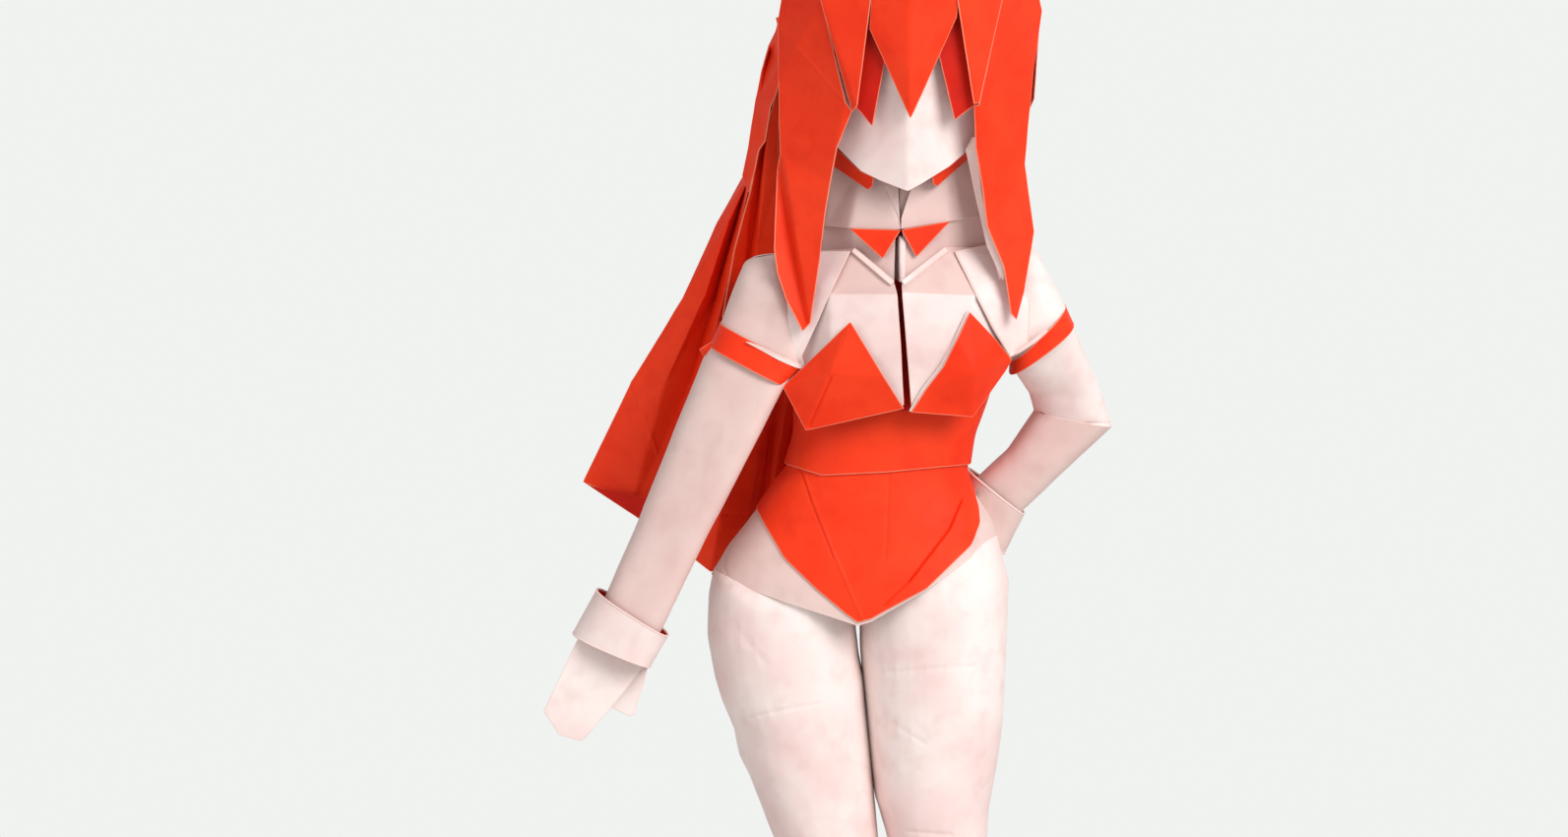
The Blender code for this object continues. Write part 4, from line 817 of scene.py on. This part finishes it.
def locks():
    """The long locks in front of the shoulders."""
    left = [(865, 113, -15.4), (850, 150, -14.6), (843, 186, -14.2), (838, 217, -14), (832.5, 263, -14),
            (823, 328, -14.6), (815.5, 335.7, -14.8), (799, 304, -13), (790, 277, -12), (787, 253, -11.2),
            (788, 223, -10), (790, 173, -7.6), (793, 157, -8), (791.5, 82, -6), (791, 22, -4),
            (834.5, 0, -12.8), (859, 104, -15.2), (797, 190, -8.2), (803, 228, -9.2), (810, 267, -10.4),
            (814, 294, -11.6), (820, 328, -13.4), (799.5, 190, -10.6), (806, 228, -11.8), (812.5, 267, -12.8),
            (816.5, 294, -13.4), Vector((-17.0, -4.5, 226.5)), Vector((-9.0, -11.8, 228.0))]
    flap("left_lock", left, [(13, 12, 1, 16), (16, 1, 0), (12, 22, 2, 1), (22, 23, 3, 2), (23, 24, 4, 3),
                             (24, 25, 4), (25, 5, 4), (25, 21, 5), (12, 17, 22), (17, 18, 23, 22),
                             (18, 19, 24, 23), (19, 20, 25, 24), (20, 21, 25), (12, 11, 17), (11, 10, 18, 17),
                             (10, 9, 19, 18), (9, 8, 19), (8, 7, 20, 19), (7, 6, 21, 20), (6, 5, 21),
                             (14, 13, 16, 15), (14, 15, 27, 26)], fineness=0.8,
         creases=crease(-0.08, 0.25, (795, 30), (859, 104)))
    right = [(990, 108, -15.4), (991.6, 150, -14.6), (998.6, 194.6, -14), (1003, 230, -13.6),
             (1020, 271, -13.8), (1027.5, 318, -14.2), (1032.5, 324, -14.2), (1040, 296, -12.4),
             (1050, 235, -8.6), (1040.5, 167, -6), (1049, 73, -4), (1058, 11, -2.5), (1017.5, 0, -13.2),
             (994.5, 106.6, -15.4), Vector((24.5, -4.0, 226.5)), Vector((16.5, -11.8, 228.0))]
    flap("right_lock", right, [(0, 1, 9, 13), (13, 9, 10), (1, 2, 9), (2, 3, 8, 9), (3, 4, 7, 8),
                               (4, 5, 6, 7), (12, 13, 10, 11), (12, 11, 14, 15)],
         creases=crease(-0.08, 0.25, (1052, 22), (996, 106)))
    # The lock's lining and the fold behind it are in painted shade, for the shade under the lock
    strip = [(988, 140, -11.5), (981.8, 152, -12), (991, 196, -12.2), (1003.4, 250, -12.6),
             (1019, 284, -13.2), (1022, 276, -13.4), (1004, 228, -13), (997, 195, -13.2), (991, 140, -13.6)]
    flap("right_lock_lining", strip, [(8, 0, 1, 2, 7), (7, 2, 3, 6), (6, 3, 4, 5)], SHADED_PALE_FACE)
    behind = [(996, 140, -8.5), (990, 165, -9.5), (1003, 230, -11), (1016, 284, -12.6), (1020, 270, -12.8),
              (1006, 190, -10.5)]
    flap("right_lock_fold", behind, [(0, 1, 2, 5), (5, 2, 3, 4)], SHADED_PALE_FACE)


# Hair: the crown and the long pleated sheet

CAP_MIDDLE = Vector((3.9, 0.0, 0.0))

# The cap of hair at four heights: the height, half the width, and the reach to the front and to the back
CAP_LEVELS = ((220.0, 22.3, 14.6, 20.5), (226.1, 20.5, 14.6, 19.7), (232.9, 13.8, 11.1, 15.6),
              (237.0, 5.4, 3.8, 8.6))

# The heights of the crown's rows of folds, and how far outside the cap each row lies
CROWN_ROWS = ((214.0, -4.5), (219.6, -1.6), (223.0, -0.6), (226.1, 0.0), (229.5, 0.0), (232.9, 0.0),
              (235.0, 0.0), (236.9, 0.0))
CROWN_COLUMNS = 24
CROWN_GORES = 12


def cap_place(angle, z, out=0.0):
    """A place on the hair over the crown."""
    for low, high in zip(CAP_LEVELS, CAP_LEVELS[1:]):
        if z <= high[0]:
            break
    share = (z - low[0]) / (high[0] - low[0])
    half, front, back = (mix(low[i], high[i], share) for i in (1, 2, 3))
    section = Ring(CAP_MIDDLE + Vector((0.0, 0.0, z)), Vector((half, 0.0, 0.0)), front, back)
    return ring_place(section, angle, out)


def crown():
    """The hair over the crown, folded in flat gores from the front to the back."""
    rows = []
    for z, tuck in CROWN_ROWS:
        row = []
        for column in range(CROWN_COLUMNS + 1):
            angle = turn_at(column / CROWN_COLUMNS)
            behind = min(1.0, max(0.0, -2.0 * math.cos(angle)))
            row.append(cap_place(angle, mix(z, mix(217.0, 236.9, (z - 214.0) / 22.9), behind),
                                 mix(tuck, 0.3, behind) + 0.25 * (column % 2)))
        rows.append(row)
    pleated("crown", rows, soft=1, roll=0.0)
    turns = [math.radians(360.0 * gore / CROWN_GORES - 180.0) for gore in range(CROWN_GORES)]
    lid = [cap_place(turn, 236.95, 0.1) for turn in turns]
    gores = [(gore, (gore + 1) % CROWN_GORES, CROWN_GORES) for gore in range(CROWN_GORES)]
    flap("crown_top", lid + [CAP_MIDDLE + Vector((0.0, 2.0, 237.3))], gores, roll=0.0)


# The folds of the back hair that are seen, from the outermost inward, each from the crown down to the hem
HAIR_FOLDS = (
    ((781, 60, 4), (756, 178, 8), (729, 226, 9.5), (694, 303, 12.5), (642, 388, 15), (593, 489, 16.5)),
    ((783, 62, 1.5), (760, 182, 4.5), (740, 226, 6), (716, 300, 9), (676, 388, 12), (640, 520, 14.6)),
    ((786, 70, 5), (765, 178, 9), (747, 228, 11), (727, 300, 13.4), (700, 392, 15.2), (662, 535, 15.6)),
    ((784, 104, 0.5), (770, 153, 0), (753.5, 226, 2.5), (736, 300, 6), (712, 395, 12), (682, 545, 15.4)),
    ((788, 100, 4.5), (775, 150, 5.5), (766, 226, 8), (752, 300, 12), (735, 400, 16), (704, 566, 18.5)),
    ((790, 100, -1.5), (779, 150, -0.5), (771, 226, 3), (764, 300, 8), (752, 405, 13), (722, 580, 16)),
    ((796, 100, 4), (792, 160, 5), (790, 232, 8), (782, 300, 12), (780, 405, 16), (752, 573, 18)),
)
HIDDEN_FOLDS = 16
HAIR_TIP = Vector((0.5, 19.5, 131.0))
HAIR_BULGE = 16.5
HAIR_SWEEP = 8.0


def back_hair():
    """The long pleated sheet that falls behind the figure and is swept to the left."""
    levels = len(HAIR_FOLDS[0])
    columns = [[at(*place) for place in reversed(fold)] for fold in HAIR_FOLDS]
    last = columns[-1]
    for index in range(1, HIDDEN_FOLDS + 1):
        share = index / HIDDEN_FOLDS
        column = []
        for level in range(levels):
            start = last[level]
            fall = (levels - 1 - level) / (levels - 1)
            end_x = mix(25.0, HAIR_TIP.x, fall ** 1.1)
            end_y = mix(4.0, HAIR_TIP.y, fall ** 0.7)
            sweep = HAIR_SWEEP * math.sin(math.pi * share) * fall ** 4
            bulge = HAIR_BULGE * math.sin(math.pi * share) ** 0.6 * (1.0 - 0.82 * fall)
            fold = (1.3 if index % 2 else -0.4) * min(1.0, 0.35 + fall)
            top = mix(start.z, HAIR_TIP.z if level == 0 else start.z, share ** 1.5)
            column.append(Vector((mix(start.x, end_x, share), mix(start.y, end_y, share) + bulge + fold,
                                  top - sweep)))
        columns.append(column)
    rows = [[column[level] for column in columns] for level in range(levels)]
    root = [cap_place(math.radians(mix(-94.0, -264.0, index / (len(columns) - 1))), 219.0, -0.6)
            for index in range(len(columns))]
    folds = (crease(-0.14, 0.25, (643, 388), (667, 460)) + crease(0.4, 0.45, (784, 432), (777, 518))
             + crease(0.16, 0.3, (732, 522), (760, 523)))
    pleated("back_hair", rows + [root], HAIR_FACE, soft=1, creases=folds, fineness=1.2)
    # The turned hem is dark red painted shade
    flap("hair_hem_turn", [(597, 491.6, 15), (650, 526, 12.8), (657, 506, 12.6), (604, 494, 14.4)],
         face=SHADED_FACE, fineness=0.7, roll=0.0)


def side_pleats():
    """The folds of hair that stand out beside the left lock."""
    outer = [(789, 18, -1.5), (791, 27, -1.5), (781, 47, 1), (775, 68, 1.5), (767.5, 103, 2), (760.8, 150, 2),
             (755, 178, 3), (756, 184, 3.5), (761.3, 195, 1.5), (767, 172, -0.5), (770.5, 153, -1.5),
             (777, 143, -2), (783, 108, -3), (788, 97, -3.4), (792, 81, -3.8), (793, 66, -3.8), (791, 43, -3),
             (782, 52, 3.5), (772, 98, 1), (797, 18, -4)]
    flap("outer_pleat", outer, [(0, 1, 16, 19), (1, 2, 16), (2, 3, 17), (2, 17, 16), (3, 4, 18, 17),
                                (17, 18, 15, 16), (4, 5, 10, 11, 12, 13, 18), (18, 13, 14, 15),
                                (5, 6, 7, 8, 9, 10)], fineness=0.7)
    inner = [(770.5, 153, -0.5), (761.7, 195, 0.8), (753, 228, 1.6), (746, 255, 2.4), (734, 322, 4.5),
             (748, 322, 9), (763, 255, 5.6), (771, 200, 4.2), (776.5, 148, 2.5), (780, 126, -1.6),
             (786, 104, -2.4), (792, 84, -2.8), (790.5, 130, -0.4), (790, 180, 1.6), (789, 256, 4.6),
             (785, 322, 9), (774, 200, 0.2), (768, 256, 2.6), (766, 322, 7)]
    flap("inner_pleat", inner, [(0, 1, 7, 8), (1, 2, 6, 7), (2, 3, 6), (3, 4, 5, 6), (0, 8, 9), (8, 7, 16, 9),
                                (7, 6, 17, 16), (6, 5, 18, 17), (9, 16, 12, 10), (10, 12, 11),
                                (16, 17, 13, 12), (17, 14, 13), (17, 18, 15, 14)], fineness=0.7)


def ears():
    """The long ears, each folded down its middle."""
    for side, name in ((LEFT, "left_ear"), (RIGHT, "right_ear")):
        rows = []
        for share, width in ((0.0, 7.0), (0.1, 9.6), (0.25, 12.2), (0.4, 14.0), (0.55, 14.2), (0.7, 12.0),
                             (0.85, 7.4), (1.0, 0.8)):
            middle = Vector((3.9 + side * (8.8 + 7.0 * share), 0.3, 232.5 + 63.8 * share))
            fold = 3.4 * width / 14.5
            rows.append([middle + Vector((-width / 2, -fold, 0.0)), middle,
                         middle + Vector((width / 2, -fold, 0.0))])
        pleated(name, rows, PALE_RED_FACE)


def arms():
    """Both arms with their bands and cuffs."""
    left = tube(
        ((598, 640, -9.8), (653, 672, -11.8), 4.0), ((617.7, 600, -9.6), (672.8, 637, -12), 4.2),
        ((644.2, 540, -8.2), (708, 564, -11.8), 4.4), ((655, 513, -7.6), (719, 542, -11.6), 4.6),
        ((690, 426, -6.6), (766, 452, -11.4), 4.8), ((716, 362, -5.4), (794, 396, -10.6), 5.0),
        ((733.5, 327.5, -4.2), (814, 369, -9.8), 5.0), ((740, 309, -3.2), (816, 345, -8.8), 5.0),
        ((750, 283, -3.2), (800, 298, -6.8), 4.8), ((757, 266, -2.8), (792, 270, -5.2), 3.6),
        ((766, 261.4, -3.4), (787, 258, -4.6), 2.2),
    )
    # The left arm is in painted shade, for the shade it lies in away from the key light
    sleeve("left_arm", left[:7], SHADED_PALE_FACE, fullness=3.4)
    sleeve("left_upper_arm", left[6:], SHADED_PALE_FACE, fullness=3.4, roll=0.0)
    band = tube(((722, 350.5, -5.4), (795, 389.5, -10.6), 5.6),
                ((732, 327.8, -4.4), (816.5, 371.5, -9.8), 5.6))
    sleeve("left_band", band, RED_FACE, fullness=3.4)
    hem = [(758, 347, -12.4), (774, 353.2, -13), (792, 361.8, -14.2), (808, 369, -14.2), (817, 372.2, -12.6),
           (816.6, 374.8, -12.6), (808, 372.4, -14.2), (791, 365, -14.2), (774, 355.4, -13)]
    flap("left_band_hem", hem, [(0, 8, 1), (1, 8, 7, 2), (2, 7, 6, 3), (3, 6, 5, 4)], PALE_FACE, roll=0.16)
    flap("left_band_end", [(723.6, 347.5, -7.6), (711, 355, -6.8), (717.7, 362.6, -6.8), (727, 358, -8.4)])
    cuff = tube(((582.5, 642.5, -9.6), (661, 676, -12), 5.2), ((606, 598.7, -9.6), (678.4, 645.2, -12), 5.5))
    sleeve("left_cuff", cuff, PALE_RED_FACE, fullness=2.6, columns=26, roll=0.2)
    right = tube(
        ((985, 505, 9), (1022, 556, 9), 4.0), ((992, 486, 7.5), (1038, 518, 7.5), 4.2),
        ((1024.3, 456.5, 6), (1080, 478, 6), 4.6), ((1051, 417, 5), (1128.7, 432, 5), 5.0),
        ((1046, 398, 3), (1118, 398, 3), 5.0), ((1034, 381, -2), (1095, 343, -2), 5.0),
        ((1027, 370, -4), (1089.7, 328, -4), 5.0), ((1022, 350, -5), (1079.4, 305, -5), 5.0),
        ((1008, 320, -5), (1066, 280, -5), 4.8), ((1012, 275, -4), (1052, 254, -4), 4.0),
        ((1018, 262, -4), (1046, 247, -4), 2.4),
    )
    elbow = crease(0.25, 0.3, (1051.8, 415), (1063.3, 424.3), (1088.6, 430), (1128.7, 430))
    # The right forearm is in painted shade, as it faces away from the light
    sleeve("right_forearm", right[:4], SHADED_PALE_FACE, fullness=3.0)
    sleeve("right_upper_arm", right[3:], fullness=2.8, creases=elbow, roll=0.0)
    band = tube(((1025.4, 377.3, -4.4), (1090.5, 329, -4.4), 5.7, None, 0.9),
                ((1026, 364, -4.8), (1082.2, 309.8, -4.8), 5.7, None, 1.0))
    sleeve("right_band", band, RED_FACE, fullness=2.6, columns=26)
    hem = [(1027.6, 361.5, -11.2), (1036, 357.6, -11.6), (1052, 347, -11.8), (1064, 336, -11.6),
           (1062.6, 334.4, -11.6), (1051, 344.4, -11.8), (1034.8, 354.8, -11.6), (1026.8, 358.6, -11.2)]
    flap("right_band_hem", hem, [(0, 1, 6, 7), (1, 2, 5, 6), (2, 3, 4, 5)], PALE_FACE, roll=0.16)
    # The right cuff's outside is in painted shade and its inside is the painted-shade red
    cuff = tube(((975, 530, 9), (1020.5, 561, 9), 5.2), ((983, 476, 8), (1040.5, 521.5, 8), 5.8))
    sleeve("right_cuff", cuff, SHADED_PALE_RED_FACE, fullness=2.6, columns=26, roll=0.2)


def hands():
    """The flat folded hands."""
    flap("left_palm", [(600, 632, -12.4), (589, 646, -12.4), (553, 722, -12.4), (568.5, 745.5, -12.4),
                       (591, 752, -12.4), (621, 718, -12.4), (652, 678, -12.4), (656, 660, -12.4)],
         face=PALE_FACE)
    flap("left_thumb", [(640, 665, -10.6), (621.5, 718, -10.6), (637.6, 726, -10.6), (644, 725.6, -10.6),
                        (646.4, 715, -10.6), (653, 696, -10.6), (659, 672, -10.6)], face=PALE_FACE)
    flap("right_palm", [Vector((7.0, 14.0, 122.0)), Vector((17.0, 14.0, 119.0)), Vector((19.0, 11.5, 136.0)),
                        Vector((11.0, 11.5, 138.0))], face=PALE_FACE)


def seen_directly(maker):
    """1 for rays that come from the camera, or by way of a mirror or glass, and 0 for the rays that light."""
    rays = [maker.node("ShaderNodeLightPath", output=index) for index in (0, 3, 6)]
    return maker.node("ShaderNodeMath", {"operation": "ADD", "use_clamp": True},
                      {0: rays[0] + rays[1], 1: rays[2]})


def stage():
    """A pale floor that fades into the backdrop's colour a little way off."""
    mesh = bpy.data.meshes.new("floor")
    rim = [(FLOOR_RADIUS * math.cos(turn), FLOOR_RADIUS * math.sin(turn), 0.0)
           for turn in (2 * math.pi * step / FLOOR_SIDES for step in range(FLOOR_SIDES))]
    mesh.from_pydata(rim, [], [tuple(range(FLOOR_SIDES))])
    maker = PaperMaker("pale_floor")
    place = maker.node("ShaderNodeTexCoord", output=3)
    distance = maker.node("ShaderNodeVectorMath", {"operation": "LENGTH"}, {0: place}, 1)
    seen = seen_directly(maker)
    clouds = maker.step(maker.cloud(3.0), 0.3, 0.8)
    base = maker.blend(clouds * 0.3, colour(222, 224, 222), colour(216, 219, 217))
    glow = maker.blend(seen, colour(0, 0, 0), tuple(FLOOR_GLOW * value for value in BACKDROP[:3]) + (1.0,))
    maker.finish(Base_Color=base, Roughness=0.9, Emission_Color=glow, Emission_Strength=1.0)
    plain = maker.node("ShaderNodeEmission", {}, {"Color": BACKDROP, "Strength": 1.0})
    lit = Signal(maker, maker.shader.outputs[0])
    share = maker.step(distance, FADE_START, FADE_END) * seen
    faded = maker.node("ShaderNodeMixShader", {}, {0: share, 1: lit, 2: plain})
    maker.feed(maker.tree.nodes["Material Output"].inputs[0], faded)
    mesh.materials.append(maker.material)
    floor = add_object("floor", mesh)


def lamp(name, place, aim, size, power):
    """A soft square lamp."""
    light = bpy.data.lights.new(name, "AREA")
    light.shape = "SQUARE"
    light.size = size
    light.energy = power
    thing = add_object(name, light)
    thing.location = place
    thing.rotation_euler = (Vector(aim) - Vector(place)).to_track_quat("-Z", "Y").to_euler()


def lights():
    """Soft studio light, mostly from the front right and above."""
    aim = (0.0, 0.0, 0.15)
    lamp("key", (0.92, -1.1, 1.08), aim, 0.9, 24.0)
    lamp("fill", (-0.9, -0.9, 0.4), aim, 0.9, 3.0)
    world = bpy.data.worlds.new("studio")
    bpy.context.scene.world = world
    world.use_nodes = True
    maker = NodeMaker(world.node_tree)
    ambient = maker.node("ShaderNodeBackground", {}, {0: (0.95, 0.96, 0.96, 1.0), 1: 0.46})
    backdrop = maker.node("ShaderNodeBackground", {}, {0: BACKDROP, 1: 1.0})
    sky = maker.node("ShaderNodeMixShader", {}, {0: seen_directly(maker), 1: ambient, 2: backdrop})
    maker.feed(maker.tree.nodes["World Output"].inputs[0], sky)


def camera():
    """The photograph's camera."""
    lens = bpy.data.cameras.new("camera")
    lens.sensor_width = SENSOR_WIDTH
    lens.lens = SENSOR_WIDTH * PIXELS_PER_MM * CAMERA_DISTANCE / PHOTO_WIDTH
    lens.clip_start = 0.05
    lens.clip_end = 20.0
    thing = add_object("camera", lens)
    thing.location = (CAMERA_PLACE + SPINE_FROM_ORIGIN) * MM
    thing.rotation_euler = (math.radians(90.0) - CAMERA_DROP, 0.0, 0.0)
    bpy.context.scene.camera = thing


legs()
trunk()
bust()
neckwear()
head()
bangs()
locks()
crown()
back_hair()
side_pleats()
ears()
arms()
hands()
stage()
lights()
camera()
bpy.context.scene.view_settings.view_transform = "Standard"
